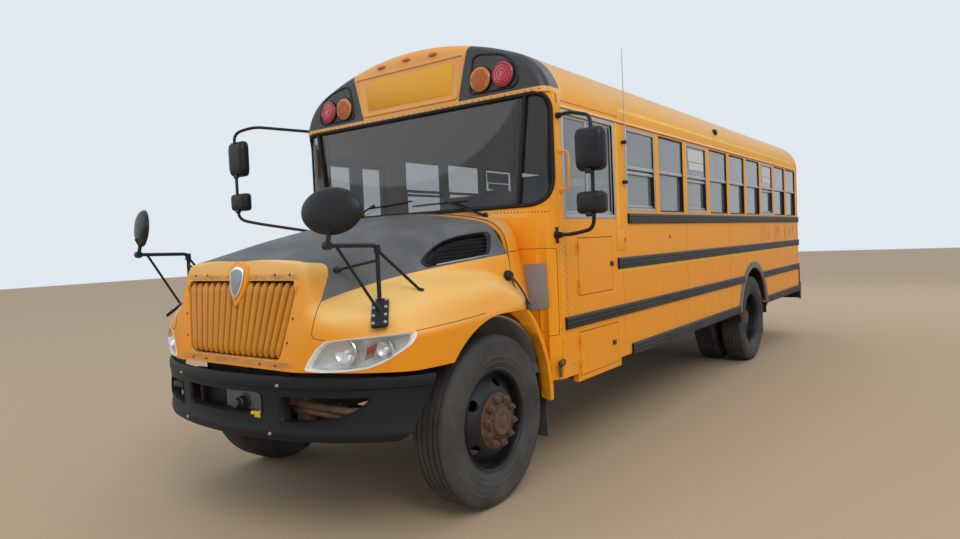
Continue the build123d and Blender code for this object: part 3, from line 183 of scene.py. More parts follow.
def makeBlack(name, rough, dusty, coat, grain, shine=0.5):
    m = Mat(name)
    cloud = m.noise(2.6, 6.0, 0.62)
    fine = m.noise(26.0, 4.0, 0.6)
    mask = (cloud.step(0.42, 0.8) * 0.6 + fine.step(0.55, 0.8) * 0.35) * dusty
    base = m.mix(mask.clamp(), paintLook["black"], paintLook["blackDust"])
    scratch = m.noise(1.0, 3.0, 0.6, (60, 3, 60)).step(0.68, 0.75)
    base = m.mix(scratch * 0.12 * dusty, base, paintLook["scratch"])
    return m.set(Base_Color=base, Roughness=(rough + 0.25 * cloud - 0.08).clamp(), Coat_Weight=coat, Coat_Roughness=0.3,
                 Normal=m.bump(m.noise(300.0, 2.0, 0.5), grain, 0.0006), Specular_IOR_Level=shine)


def makeRubber(name):
    m = Mat(name)
    cloud = m.noise(4.0, 5.0, 0.6)
    fine = m.noise(60.0, 4.0, 0.6)
    dust = (cloud.step(0.3, 0.75) * 0.55 + fine.step(0.5, 0.75) * 0.3).clamp()
    return m.set(Base_Color=m.mix(dust, (0.024, 0.0235, 0.023), (0.098, 0.092, 0.080)),
                 Roughness=(0.68 + 0.2 * cloud).clamp(), Normal=m.bump(m.noise(180.0, 3.0, 0.6), 0.2, 0.001))


def makeRust(name, amount, paint=(0.018, 0.018, 0.018)):
    m = Mat(name)
    patch = m.noise(9.0, 8.0, 0.7).step(0.62 - 0.35 * amount, 0.78 - 0.2 * amount)
    rust = m.mix(m.noise(45.0, 5.0, 0.65), (0.050, 0.027, 0.016), (0.19, 0.095, 0.050))
    return m.set(Base_Color=m.mix(patch * (0.35 + 0.65 * amount), paint, rust), Roughness=(0.5 + 0.4 * patch).clamp(),
                 Metallic=(0.35 - 0.3 * patch).clamp(), Normal=m.bump(m.noise(120.0, 5.0, 0.7) * patch, 0.5, 0.002))


def makeMetal(name, color, rough, dull, metallic=1.0):
    m = Mat(name)
    cloud = m.noise(7.0, 5.0, 0.6)
    grit = m.noise(90.0, 3.0, 0.6)
    return m.set(Base_Color=m.mix((cloud * dull).clamp(), color, shade(color, 0.45)), Metallic=metallic,
                 Roughness=(rough + 0.25 * grit - 0.1).clamp(), Normal=m.bump(grit, 0.12, 0.0008))


def makeGlass(name, color, alpha, dust):
    m = Mat(name)
    haze = m.noise(3.0, 5.0, 0.6).step(0.35, 0.8)
    return m.set(Base_Color=m.mix(haze * dust * 3.0, color, (0.30, 0.31, 0.29)), Roughness=(0.03 + 0.12 * haze * dust * 4).clamp(),
                 Alpha=(alpha + haze * dust).clamp(), IOR=1.52, Coat_Weight=1.0, Coat_Roughness=0.03)


def makePlain(name, color, rough=0.6, vary=0.25, grain=0.15, scale=120.0, metallic=0.0):
    m = Mat(name)
    cloud = m.noise(5.0, 5.0, 0.6)
    return m.set(Base_Color=m.mix((cloud * vary).clamp(), color, shade(color, 0.45)), Metallic=metallic,
                 Roughness=(rough + 0.2 * cloud - 0.1).clamp(), Normal=m.bump(m.noise(scale, 3.0, 0.6), grain, 0.001))


def makeLens(name, color, cellSize=70.0):
    m = Mat(name)
    cell = m.cells(cellSize, 0.15)
    return m.set(Base_Color=m.mix(cell.step(0.15, 0.6) * 0.5, color, shade(color, 0.35)), Roughness=0.16,
                 Normal=m.bump(cell, 0.55, 0.004), Coat_Weight=0.8, Coat_Roughness=0.06,
                 Emission_Color=color, Emission_Strength=0.0)


def makeHoodPaint(name):  # yellow shell, black top behind the nose moulding
    m = Mat(name)
    x, y, z = m.axes()
    lx, ay = x - axleX, y.math("ABSOLUTE")
    seamLine = 1.5062 + lx * (-0.1049 + lx * (-0.0013 + lx * -0.0930))
    drop, rise = (1.471 - z).math("MAXIMUM", 0.0), (z - 1.471).math("MAXIMUM", 0.0)
    topEdge, flank = 0.966 - 0.10 * (ay * ay), 0.857 + 0.515 * drop - 0.31 * rise
    turned = ay.step(0.53, 0.63)
    front = topEdge * (1 - turned) + flank * turned
    black = (z - seamLine).step(-0.0012, 0.0012) * (front - lx).step(-0.0012, 0.0012)
    bands = z.step(1.454, 1.460) * (1 - z.step(1.476, 1.492)) + z.step(0.972, 0.988) * (1 - z.step(1.010, 1.016))
    grilleEdge = bands * (1 - ay.step(0.50, 0.56)) * lx.step(0.76, 0.80)
    cloud = m.noise(1.1, 5.0, 0.6)
    fine = m.noise(9.0, 5.0, 0.6)
    high = (z + (cloud - 0.5) * 0.3).step(1.0, 1.5)
    # pale patch on the nose's rounded top: partly faded paint, partly a painted highlight of sky light
    noseTopFadeAndSkyLight = z.step(1.44, 1.54) * (1 - ay.step(0.60, 0.80)) * lx.step(0.60, 0.75)
    yellowTone = m.mix(high * 0.55, (0.80, 0.275, 0.003), (0.86, 0.39, 0.045))
    # paler where the hood faces up: partly chalky sun-faded paint, partly painted sky light on the up-facing faces
    yellowTone = m.mix(m.upward(0.12, 0.80) * (0.60 + 0.5 * (cloud - 0.3)), yellowTone, paintLook["chalkAndSkyLight"])
    yellowTone = m.mix(noseTopFadeAndSkyLight * 0.65, yellowTone, (0.90, 0.56, 0.20))
    yellowTone = wear(m, z, yellowTone, 0.5)
    chips = m.noise(16.0, 6.0, 0.75, (1, 1, 2.0)).step(0.44, 0.60)
    yellowTone = m.mix((grilleEdge * (0.35 + chips * 0.55)).clamp(), yellowTone, (0.42, 0.17, 0.06))
    sheen = m.noise(2.4, 6.0, 0.62).step(0.35, 0.8)
    scratch = m.noise(1.0, 3.0, 0.6, (3, 50, 50)).step(0.62, 0.72)
    blackTone = m.mix((sheen * 0.6 + fine * 0.2).clamp(), (0.078, 0.082, 0.088), (0.20, 0.21, 0.218))
    blackTone = m.mix(scratch * 0.22, blackTone, (0.25, 0.25, 0.25))
    rough = 0.36 + 0.12 * fine + black * 0.10
    return m.set(Base_Color=m.mix(black, yellowTone, blackTone), Roughness=(rough + 0.06).clamp(), Specular_IOR_Level=0.30,
                 Coat_Weight=0.05, Coat_Roughness=0.2, Normal=m.bump(m.noise(1.6, 2.0, 0.5), 0.3, 0.01))


def makeCapPaint(name):  # front cap: yellow middle and lower band, black lamp areas
    m = Mat(name)
    x, y, z = m.axes()
    edge = 0.4835 + (z - 2.636) * 0.26
    black = (y.math("ABSOLUTE") - edge).step(-0.0012, 0.0012) * (z - 2.636).step(-0.0012, 0.0012) * (x - 2.835).step(-0.002, 0.002)
    cloud = m.noise(1.4, 5.0, 0.6)
    fine = m.noise(12.0, 5.0, 0.6)
    yellowTone = m.mix(cloud.step(0.3, 0.8), (0.78, 0.33, 0.045), (0.80, 0.40, 0.10))
    blackTone = m.mix((cloud.step(0.4, 0.8) * 0.7 + fine * 0.2).clamp(), (0.016, 0.017, 0.019), (0.05, 0.052, 0.055))
    return m.set(Base_Color=m.mix(black, yellowTone, blackTone), Roughness=(0.42 + 0.15 * fine).clamp(),
                 Coat_Weight=0.15, Coat_Roughness=0.25, Normal=m.bump(m.noise(2.0, 2.0, 0.5), 0.25, 0.008))


yellow = makeYellow("busYellow")
hoodYellow = makeYellow("hoodYellow", 0.85, 1.06)
capPaintPlain = makeYellow("capYellow", 0.9, 1.0)
hoodPaint = makeHoodPaint("hoodPaint")
capPaint = makeCapPaint("capPaint")
rubber = makeRubber("tyreRubber")

# blacks: rough, dusty, coat, grain, shine
blackPaint = makeBlack("hoodBlack", 0.46, 0.55, 0.15, 0.08)
capBlack = makeBlack("capBlack", 0.5, 0.3, 0.0, 0.1, 0.35)
bumperBlack = makeBlack("bumperPlastic", 0.46, 0.12, 0.0, 0.18, 0.22)
railBlack = makeBlack("railVinyl", 0.5, 0.8, 0.0, 0.2)
mirrorBlack = makeBlack("mirrorPlastic", 0.38, 0.12, 0.05, 0.2, 0.30)
seal = makeBlack("windowSeal", 0.6, 0.15, 0.0, 0.2, 0.3)
podFace = makeBlack("podFace", 0.16, 0.25, 0.6, 0.02)

# rusted paints: amount, paint
chassis = makeRust("chassisPaint", 0.35)
rustyMetal = makeRust("rustyMetal", 0.95, (0.05, 0.035, 0.025))
wheelBlack = makeRust("wheelPaint", 0.12, (0.014, 0.014, 0.015))
hubRust = makeRust("hubRust", 1.0, (0.09, 0.055, 0.04))
nutRust = makeRust("nutRust", 0.95, (0.16, 0.10, 0.075))

# metals: colour, rough, dull, metallic
aluminium = makeMetal("windowAluminium", (0.50, 0.51, 0.50), 0.45, 0.5, 0.6)
chrome = makeMetal("brightTrim", (0.7, 0.7, 0.7), 0.15, 0.2)
mirrorGlass = makeMetal("mirrorGlass", (0.6, 0.62, 0.63), 0.04, 0.05)
darkMetal = makeMetal("darkScrew", (0.12, 0.11, 0.10), 0.5, 0.5, 0.8)
zinc = makeMetal("zincBolt", (0.62, 0.62, 0.60), 0.4, 0.3, 0.7)
boltGrey = makeMetal("boltGrey", (0.34, 0.34, 0.33), 0.45, 0.4, 0.6)

# glass: colour, alpha, dust
glass = makeGlass("windowGlass", (0.165, 0.20, 0.205), 0.70, 0.06)
screenGlass = makeGlass("screenGlass", (0.012, 0.017, 0.017), 0.40, 0.03)
coverGlass = makeGlass("lampCover", (0.66, 0.66, 0.64), 0.08, 0.03)
glassClear = makeGlass("rightGlass", (0.02, 0.024, 0.024), 0.10, 0.03)

# lenses: colour, cell size
redLens = makeLens("redLens", (0.62, 0.012, 0.03))
amberLens = makeLens("amberLens", (0.75, 0.20, 0.012))
clearLens = makeLens("clearLens", (0.6, 0.6, 0.58), 30.0)
reflectorRed = makeLens("reflectorRed", (0.28, 0.035, 0.02), 140.0)

# plain finishes: colour, rough, vary, grain, scale, metallic
greyPanel = makePlain("greyPanel", (0.16, 0.165, 0.16))
seatVinyl = makePlain("seatVinyl", (0.05, 0.032, 0.022), 0.5, 0.3, 0.35, 260.0)
seatCloth = makePlain("seatCloth", (0.04, 0.045, 0.055), 0.85, 0.3, 0.4, 400.0)
floorRubber = makePlain("floorRubber", (0.03, 0.028, 0.025), 0.8, 0.4, 0.3, 90.0)
dashGrey = makePlain("dashGrey", (0.05, 0.052, 0.052), 0.7, 0.3, 0.3, 300.0)
hatchWhite = makePlain("hatchPlastic", (0.42, 0.41, 0.38))
trimWhite = makePlain("lampBezel", (0.84, 0.84, 0.81), 0.3, 0.05, 0.03)
lampTray = makePlain("lampTray", (0.66, 0.66, 0.65), 0.25, 0.08, 0.0, 120.0, 0.35)
grilleShade = makePlain("grilleShade", (0.035, 0.014, 0.003), 0.85)
grilleBarPaint = makePlain("grilleBarPaint", (0.66, 0.262, 0.010), 0.45, 0.45, 0.05)
shieldBlank = makePlain("shieldBlank", (0.25, 0.26, 0.25), 0.3, 0.2, 0.05)
signYellow = makePlain("signYellow", (0.84, 0.40, 0.020), 0.45, 0.10, 0.05)
tape = makePlain("reflectiveTape", (0.88, 0.52, 0.004), 0.55, 0.08, 0.05)
greyPatch = makePlain("greyPatch", (0.27, 0.29, 0.30), 0.6, 0.1, 0.1)
linerGrey = makePlain("archLiner", (0.36, 0.365, 0.36), 0.6, 0.2, 0.1)
dripPale = makePlain("dripRail", (0.88, 0.50, 0.19), 0.5, 0.2, 0.05)
orangeMark = makePlain("orangeMark", (0.80, 0.14, 0.012), 0.6, 0.3, 0.05)
labelWhite = makePlain("labelWhite", (0.62, 0.62, 0.60), 0.6, 0.15, 0.05)
seamShade = makePlain("seamShade", (0.20, 0.09, 0.015), 0.8)
rivetYellow = makePlain("rivetYellow", (0.70, 0.29, 0.03), 0.5, 0.4, 0.05)
rivetDark = makePlain("rivetDark", (0.16, 0.085, 0.03), 0.55, 0.5, 0.05)
# near-black painted shade: the sipe slits on the tread and the dark ring inside the front wheels
paintedShadeBlack = makePlain("tyreGroove", (0.008, 0.008, 0.008), 0.85)
connectorYellow = makePlain("connectorYellow", (0.62, 0.42, 0.02), 0.5)
redShade = makePlain("lensRibRed", (0.30, 0.004, 0.012), 0.3, 0.2, 0.05)
amberShade = makePlain("lensRibAmber", (0.42, 0.09, 0.006), 0.3, 0.2, 0.05)
print("materials ready")


# mesh helpers
def pchip(xs, ys, x):  # monotone cubic through the named values
    n = len(xs)
    h = [xs[i + 1] - xs[i] for i in range(n - 1)]
    d = [(ys[i + 1] - ys[i]) / h[i] for i in range(n - 1)]
    m = [0 if a * b <= 0 else 2 * a * b / (a + b) for a, b in zip(d, d[1:])]
    m = [d[0]] + m + [d[-1]]
    i = max(0, min(n - 2, sum(1 for v in xs[1:-1] if x >= v)))
    t = (x - xs[i]) / h[i]
    return (ys[i] * (1 + 2 * t) * (1 - t) ** 2 + h[i] * m[i] * t * (1 - t) ** 2
            + ys[i + 1] * t * t * (3 - 2 * t) + h[i] * m[i + 1] * t * t * (t - 1))


def smin(a, b, k):  # soft smaller value
    h = max(0.0, min(1.0, 0.5 + 0.5 * (b - a) / k))
    return b * (1 - h) + a * h - k * h * (1 - h)


def around(count, extra=0):  # angles of a full turn
    return [2 * math.pi * k / count for k in range(count + extra)]


def sided(p, sign):  # a point of the left side, on either side
    return Vector((p[0], sign * p[1], p[2]))


def rounded(points, radii, steps=5, closed=False):  # polyline with its corners eased
    pts = [Vector((*p, 0)[:3]) for p in points]
    n = len(pts)
    radii = radii if isinstance(radii, (list, tuple)) else [radii] * n
    out = []
    for i, p in enumerate(pts):
        if (not closed and i in (0, n - 1)) or radii[i] <= 0:
            out.append(p)
            continue
        a, b = pts[i - 1] - p, pts[(i + 1) % n] - p
        r = min(radii[i], 0.48 * a.length, 0.48 * b.length)
        p0, p1 = p + a.normalized() * r, p + b.normalized() * r
        for k in range(steps + 1):
            t = k / steps
            out.append(p0 * (1 - t) ** 2 + p * 2 * t * (1 - t) + p1 * t * t)
    return out


def roundRect(w, h, r, steps=4):
    return [(p.x, p.y) for p in rounded([(-w / 2, -h / 2), (w / 2, -h / 2), (w / 2, h / 2), (-w / 2, h / 2)], r, steps, True)]


def evenRow(row, count):  # the same path with a chosen number of evenly spaced points
    lengths = [0.0]
    for a, b in zip(row, row[1:]):
        lengths.append(lengths[-1] + (b - a).length)
    out, j = [], 0
    for k in range(count):
        want = lengths[-1] * k / (count - 1)
        while j < len(row) - 2 and lengths[j + 1] < want:
            j += 1
        span = max(lengths[j + 1] - lengths[j], 1e-9)
        out.append(row[j].lerp(row[j + 1], min(1.0, max(0.0, (want - lengths[j]) / span))))
    return out


def between(line, steps):  # pixels or points on a polyline, its last point left out
    return [[a + (b - a) * k / steps for a, b in zip(p, q)] for p, q in zip(line, line[1:]) for k in range(steps)]


class Shape:
    def __init__(self, *materials):
        self.bm = bmesh.new()
        self.materials = materials

    def face(self, verts, mat=0):
        if len(set(verts)) < 3:
            return
        made = self.bm.faces.new(verts)
        made.material_index, made.smooth = mat, True

    def grid(self, rows, mat=0, wrap=False, caps=False):
        made = [[self.bm.verts.new(p) for p in row] for row in rows]
        for a, b in zip(made, made[1:]):
            for j in range(len(a) if wrap else len(a) - 1):
                k = (j + 1) % len(a)
                self.face([a[j], a[k], b[k], b[j]], mat)
        if caps:
            self.face(made[0][::-1], mat)
            self.face(made[-1], mat)
        return made

    def solid(self, rows, mat=0):  # closed rows with both ends capped
        return self.grid(rows, mat, True, True)

    def tube(self, path, radius, sides=10, mat=0, flat=1.0):
        path = [Vector(p) for p in path]
        rows, side = [], None
        for i, p in enumerate(path):
            way = (path[min(i + 1, len(path) - 1)] - path[max(i - 1, 0)]).normalized()
            if side is None:
                side = way.orthogonal().normalized()
                if abs(way.z) < 0.9:
                    side = way.cross(Vector((0, 0, 1))).normalized()
            side = (side - way * side.dot(way)).normalized()
            rise = way.cross(side)
            r = radius[i] if isinstance(radius, (list, tuple)) else radius
            rows.append([p + side * r * math.cos(t) + rise * r * flat * math.sin(t) for t in around(sides)])
        self.solid(rows, mat)

    def lathe(self, profile, origin, axis, steps=48, mat=0, closed=False):
        origin, axis = Vector(origin), Vector(axis).normalized()
        side = axis.orthogonal().normalized()
        rise = axis.cross(side)
        self.grid([[origin + axis * along + (side * math.cos(t) + rise * math.sin(t)) * max(radius, 1e-4) for t in around(steps)]
                   for along, radius in (profile + profile[:1] if closed else profile)], mat, True, not closed)

    def slab(self, outline, push, bevel=0.0, mat=0, steps=2):  # a plate from a flat outline, its front edge eased
        pts, push = [Vector(p) for p in outline], Vector(push)
        mid = sum(pts, Vector()) / len(pts)
        rows = [pts]
        reach = min((p - mid).length for p in pts)
        for t in [math.pi / 2 * k / steps for k in range(steps + 1)] if bevel else [math.pi / 2]:
            shrink, depth = 1 - bevel * (1 - math.cos(t)) / reach, 1 - bevel / push.length * (1 - math.sin(t))
            rows.append([mid + (p - mid) * shrink + push * depth for p in pts])
        self.solid(rows, mat)

    def box(self, low, high, bevel=0.003, mat=0):
        low, high = Vector(low), Vector(high)
        verts = bmesh.ops.create_cube(self.bm, size=1.0)["verts"]
        for v in verts:
            v.co = Vector([low[i] + (high[i] - low[i]) * (v.co[i] + 0.5) for i in range(3)])
        edges = list({e for v in verts for e in v.link_edges})
        for f in {f for v in verts for f in v.link_faces}:
            f.material_index = mat
        if bevel:
            cut = bmesh.ops.bevel(self.bm, geom=edges, offset=bevel, segments=2, profile=0.5, affect="EDGES")
            for f in cut["faces"]:
                f.material_index = mat

    def sideBox(self, sign, x, y, z, bevel, mat):  # a box on one side, y given from the middle of the bus
        a, b = sorted((sign * y[0], sign * y[1]))
        self.box((x[0], a, z[0]), (x[1], b, z[1]), bevel, mat)

    def mesh(self, name, angle=40):
        bmesh.ops.remove_doubles(self.bm, verts=self.bm.verts, dist=1e-5)
        bmesh.ops.recalc_face_normals(self.bm, faces=self.bm.faces[:])
        mesh = bpy.data.meshes.new(name)
        self.bm.to_mesh(mesh)
        self.bm.free()
        for material in self.materials:
            mesh.materials.append(material)
        return soften(mesh, angle)


def soften(mesh, angle):  # smooth faces, edges sharper than the angle kept crisp
    mesh.polygons.foreach_set("use_smooth", [True] * len(mesh.polygons))
    mesh.set_sharp_from_angle(angle=math.radians(angle))
    return mesh


def repaint(mesh, material):
    mesh.materials.clear()
    mesh.materials.append(material)
    return mesh


def loose(name, shape):  # an object that isn't kept, or not yet
    obj = bpy.data.objects.new(name, shape.mesh(name) if isinstance(shape, Shape) else shape)
    bpy.context.collection.objects.link(obj)
    return obj


def place(name, shape, body="root", slot=None, instead=(), angle=40):
    obj = loose(name, shape.mesh(name, angle) if isinstance(shape, Shape) else shape)
    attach(obj, body)
    if instead:
        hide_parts(*instead)


def plainMesh(obj, name):  # the evaluated result as a plain mesh; the helper object goes
    bpy.context.view_layer.update()
    made = bpy.data.meshes.new_from_object(obj.evaluated_get(bpy.context.evaluated_depsgraph_get()))
    made.name = name
    bpy.data.objects.remove(obj)
    return made


def cutMesh(mesh, cutters):
    obj = loose("cutBody", mesh)
    helpers = [loose("cutter%d" % index, shape) for index, shape in enumerate(cutters)]
    for helper in helpers:
        step = obj.modifiers.new(helper.name, "BOOLEAN")
        step.object, step.operation, step.solver = helper, "DIFFERENCE", "EXACT"
    made = plainMesh(obj, mesh.name)
    for helper in helpers:
        bpy.data.objects.remove(helper)
    return soften(made, 35)


def thicken(mesh, wall, name):
    obj = loose(name, mesh)
    skin = obj.modifiers.new("wall", "SOLIDIFY")
    skin.thickness, skin.offset = wall, -1
    return plainMesh(obj, name)


def pointTree(name, aimed):  # one small mesh on every point, turned by the point's own attribute
    tree = bpy.data.node_groups.new(name, "GeometryNodeTree")
    for label, way, kind in (("Geometry", "INPUT", "Geometry"), ("Piece", "INPUT", "Object"), ("Low", "INPUT", "Float"),
                             ("High", "INPUT", "Float"), ("Geometry", "OUTPUT", "Geometry")):
        tree.interface.new_socket(label, in_out=way, socket_type="NodeSocket" + kind)
    made = {key: tree.nodes.new(kind) for key, kind in (
        ("start", "NodeGroupInput"), ("end", "NodeGroupOutput"), ("info", "GeometryNodeObjectInfo"),
        ("points", "GeometryNodeMeshToPoints"), ("on", "GeometryNodeInstanceOnPoints"),
        ("real", "GeometryNodeRealizeInstances"), ("own", "GeometryNodeInputNamedAttribute"),
        ("aim", "FunctionNodeAlignEulerToVector"), ("wide", "FunctionNodeRandomValue"))}
    made["own"].data_type = "FLOAT_VECTOR"
    made["own"].inputs["Name"].default_value = "turn"
    made["aim"].axis = "Z"
    made["wide"].data_type = "FLOAT"
    made["wide"].inputs["Seed"].default_value = 1
    links = [("start", "Geometry", "points", "Mesh"), ("points", "Points", "on", "Points"), ("start", "Piece", "info", "Object"),
             ("info", "Geometry", "on", "Instance"), ("start", "Low", "wide", 2), ("start", "High", "wide", 3),
             ("wide", 1, "on", "Scale"), ("on", "Instances", "real", "Geometry"), ("real", "Geometry", "end", "Geometry")]
    if aimed:
        links += [("own", "Attribute", "aim", "Vector"), ("aim", "Rotation", "on", "Rotation")]
    else:
        links.append(("own", "Attribute", "on", "Rotation"))
    for a, out, b, into in links:
        tree.links.new(made[a].outputs[out], made[b].inputs[into])
    return tree


studTree, barTree = pointTree("studsOnPoints", True), pointTree("barsOnPoints", False)


def onPoints(name, spots, piece, tree, variation=0.0):
    carrier = bpy.data.meshes.new(name + "Points")
    carrier.from_pydata([tuple(p) for p, way in spots], [], [])
    turns = carrier.attributes.new("turn", "FLOAT_VECTOR", "POINT")
    for index, (p, way) in enumerate(spots):
        turns.data[index].vector = tuple(way)
    obj, helper = loose(name + "Carrier", carrier), loose(name + "Piece", piece)
    step = obj.modifiers.new("onPoints", "NODES")
    step.node_group = tree
    inputs = {item.name: item.identifier for item in tree.interface.items_tree if item.in_out == "INPUT"}
    step[inputs["Piece"]] = helper
    step[inputs["Low"]], step[inputs["High"]] = 1.0 - variation, 1.0 + variation
    made = plainMesh(obj, name)
    bpy.data.objects.remove(helper)
    return made


def scatter(name, spots, piece, material, body, variation, slot):
    place(name, soften(repaint(onPoints(name, spots, piece, studTree, variation), material), 40), body, slot)


def domeStud(radius, height, sides=7):
    shape = Shape()
    shape.lathe([(-0.3 * height, radius), (0.35 * height, radius * 0.92), (height, radius * 0.45)], (0, 0, 0), (0, 0, 1), sides)
    return shape


def hexNut(radius, height):
    shape = Shape()
    shape.lathe([(-0.2 * height, radius), (0.75 * height, radius), (height, radius * 0.86)], (0, 0, 0), (0, 0, 1), 6)
    shape.lathe([(0.9 * height, radius * 0.45), (1.35 * height, radius * 0.45), (1.5 * height, radius * 0.35)],
                (0, 0, 0), (0, 0, 1), 6)
    return shape


def treeOf(mesh):
    return BVHTree.FromPolygons([v.co.copy() for v in mesh.vertices], [tuple(p.vertices) for p in mesh.polygons])


def photoRay(px, py):  # the ray of a photograph's pixel
    wide, high = cameraLook["pixels"]
    return (ahead + right * ((px - wide / 2) / focalPixels) - up * ((py - high / 2) / focalPixels)).normalized()


def onto(tree, px, py, lift=0.0):
    way = photoRay(px, py)
    hit, normal, face, distance = tree.ray_cast(eye, way)
    if hit is None:
        raise ValueError("no surface under pixel %s, %s" % (px, py))
    if normal.dot(way) > 0:
        normal = -normal
    return hit + normal * lift, normal


def traced(tree, pixels, lift, sign=1):
    return [sided(onto(tree, px, py, lift)[0], sign) for px, py in pixels]


def planeHit(px, py, axis, value):  # where a pixel's ray meets a plane across one axis
    way = photoRay(px, py)
    return eye + way * ((value - eye[axis]) / way[axis])


# CAD nodes keep their shape and get their finish
finish = (
    (yellow, "roof left_wall right_wall rear_wall emergency_door battery_door access_door side_fittings"),
    (hoodYellow, "cowl hood_shell grille"), (capPaint, "front_cap"), (floorRubber, "floor"), (clearLens, "headlights"),
    (mirrorBlack, "crossover_mirrors steering_wheel side_mirrors wipers"), (screenGlass, "windshield"),
    (seal, "windshield_posts"), (aluminium, "left_windows right_windows"), (glass, "rear_windows"), (railBlack, "rub_rails"),
    (greyPanel, "arch_trims"), (blackPaint, "entry_leaf_front entry_leaf_rear rear_bumper"), (hatchWhite, "roof_hatch"),
    (bumperBlack, "front_bumper"), (rustyMetal, "engine_block exhaust"),
    (chassis, "frame_rails radiator front_axle leaf_springs rear_axle drive_shaft fuel_tank battery_box knuckle_left"
              " knuckle_right tie_rod"),
    (rubber, "tyre_front_left tyre_front_right tyres_rear_left tyres_rear_right mud_flaps"),
    (wheelBlack, "wheel_front_left wheel_front_right wheels_rear_left wheels_rear_right"), (seatVinyl, "passenger_seats"),
    (seatCloth, "driver_seat"), (dashGrey, "dashboard"), (redLens, "warning_lamps"), (amberLens, "marker_lamps"),
)
for material, names in finish:
    for name in names.split():
        repaint(nodes[name].data, material)
print("finishes on the CAD nodes")


# hood: one smooth shell through the same sections as the CAD
hoodForm = {
    "rows": (  # x from the front axle, side y, crease z, fender y z, ledge y z, seam y z, shoulder y z, crown z
        (1.085, 0.560, 1.090, 0.555, 1.150, 0.556, 1.200, 0.545, 1.235, 0.505, 1.500, 1.545),
        (1.045, 0.640, 1.100, 0.630, 1.180, 0.606, 1.240, 0.590, 1.285, 0.525, 1.530, 1.560),
        (0.900, 0.960, 1.130, 0.880, 1.235, 0.735, 1.290, 0.660, 1.320, 0.580, 1.555, 1.600),
        (0.727, 1.150, 1.150, 1.040, 1.285, 0.830, 1.350, 0.735, 1.378, 0.640, 1.580, 1.655),
        (0.400, 1.190, 1.165, 1.105, 1.345, 0.905, 1.432, 0.845, 1.452, 0.740, 1.630, 1.732),
        (0.000, 1.195, 1.190, 1.135, 1.360, 1.000, 1.430, 0.975, 1.505, 0.860, 1.700, 1.800),
        (-0.265, 1.200, 1.220, 1.165, 1.262, 1.084, 1.345, 1.062, 1.535, 0.935, 1.740, 1.840)),
    "steps": (3, 6, 6, 9, 9, 7), "easing": (0.0, 0.018, 0.12, 0.032, 0.035, 0.14), "columnGap": 0.04, "columnMost": 6,
    "lowZ": 0.968, "waistZ": 1.2, "noseX": 1.066, "noseLean": 0.168, "noseEdge": 0.055, "lipPush": 0.05, "lipShrink": 0.985,
    "baseSteps": 25, "tuck": 0.018, "wall": 0.010, "archRadius": 0.64, "archZ": 0.545,
}
grilleForm = {"top": (0.536, 1.452), "low": (0.432, 1.017), "corner": 0.045, "middleZ": 1.235, "depth": 0.05,
              "bars": 16, "barWidth": 0.0198, "barDepth": 0.027, "barHigh": 0.413, "barZ": 1.2345, "barBack": -0.012}


def noseX(z):
    return hoodForm["noseX"] - hoodForm["noseLean"] * (z - hoodForm["lowZ"])


hoodKeys = [0.0]
for rowA, rowB in zip(hoodForm["rows"], hoodForm["rows"][1:]):
    hoodKeys.append(hoodKeys[-1] + math.hypot(rowB[0] - rowA[0], rowB[1] - rowA[1]))


def hoodSide(key):
    value = [pchip(hoodKeys, [row[i] for row in hoodForm["rows"]], key) for i in range(12)]
    x, sideY, creaseZ, fenderY, fenderZ, ledgeY, ledgeZ, seamY, seamZ, shoulderY, shoulderZ, crown = value
    half = [(sideY, hoodForm["lowZ"]), (sideY, creaseZ), (fenderY, fenderZ), (ledgeY, ledgeZ), (seamY, seamZ), (shoulderY, shoulderZ)]
    arc = [(shoulderY * t, crown - (crown - shoulderZ) * t * t) for t in (0.8, 0.6, 0.4, 0.2, 0.0)]
    return x, rounded([(0, y, z) for y, z in half + arc], list(hoodForm["easing"]) + [0] * len(arc), 5)


hoodSides = [hoodSide(key)[1] for key in hoodKeys]
hoodParts = []  # columns between two neighbouring points, the same on every row
for i in range(len(hoodSides[0]) - 1):
    widest = max((side[i + 1] - side[i]).length for side in hoodSides)
    hoodParts.append(max(1, min(hoodForm["columnMost"], math.ceil(widest / hoodForm["columnGap"]))))


def hoodRow(key, push=0.0, shrink=1.0):
    x, side = hoodSide(key)
    dense = [side[0]]
    for a, b, parts in zip(side, side[1:], hoodParts):
        dense += [a.lerp(b, k / parts) for k in range(1, parts + 1)]
    line, waist = [], hoodForm["waistZ"]
    for p in dense + [sided(q, -1) for q in dense[-2::-1]]:
        z = waist + (p.z - waist) * (shrink if p.z > waist else 1)
        line.append(Vector((axleX + smin(x + push, noseX(z), hoodForm["noseEdge"]), p.y * shrink, z)))
    return line


def outlineHit(y, z):  # grille outline along the ray from its middle
    topY, topZ = grilleForm["top"]
    lowY, lowZ = grilleForm["low"]
    corners = rounded([(-lowY, lowZ), (lowY, lowZ), (topY, topZ), (-topY, topZ)], grilleForm["corner"], 5, True)
    angle = math.atan2(z - grilleForm["middleZ"], y)
    dx, dy = math.cos(angle), math.sin(angle)
    hits = []
    for a, b in zip(corners, corners[1:] + corners[:1]):
        ax, ay, bx, by = a.x, a.y - grilleForm["middleZ"], b.x, b.y - grilleForm["middleZ"]
        det = (bx - ax) * dy - (by - ay) * dx
        if abs(det) < 1e-9:
            continue
        t = (ay * dx - ax * dy) / det
        reach = ((bx - ax) * t + ax) * dx + ((by - ay) * t + ay) * dy
        if -1e-6 <= t <= 1 + 1e-6 and reach > 0:
            hits.append(reach)
    return min(hits) * dx, grilleForm["middleZ"] + min(hits) * dy


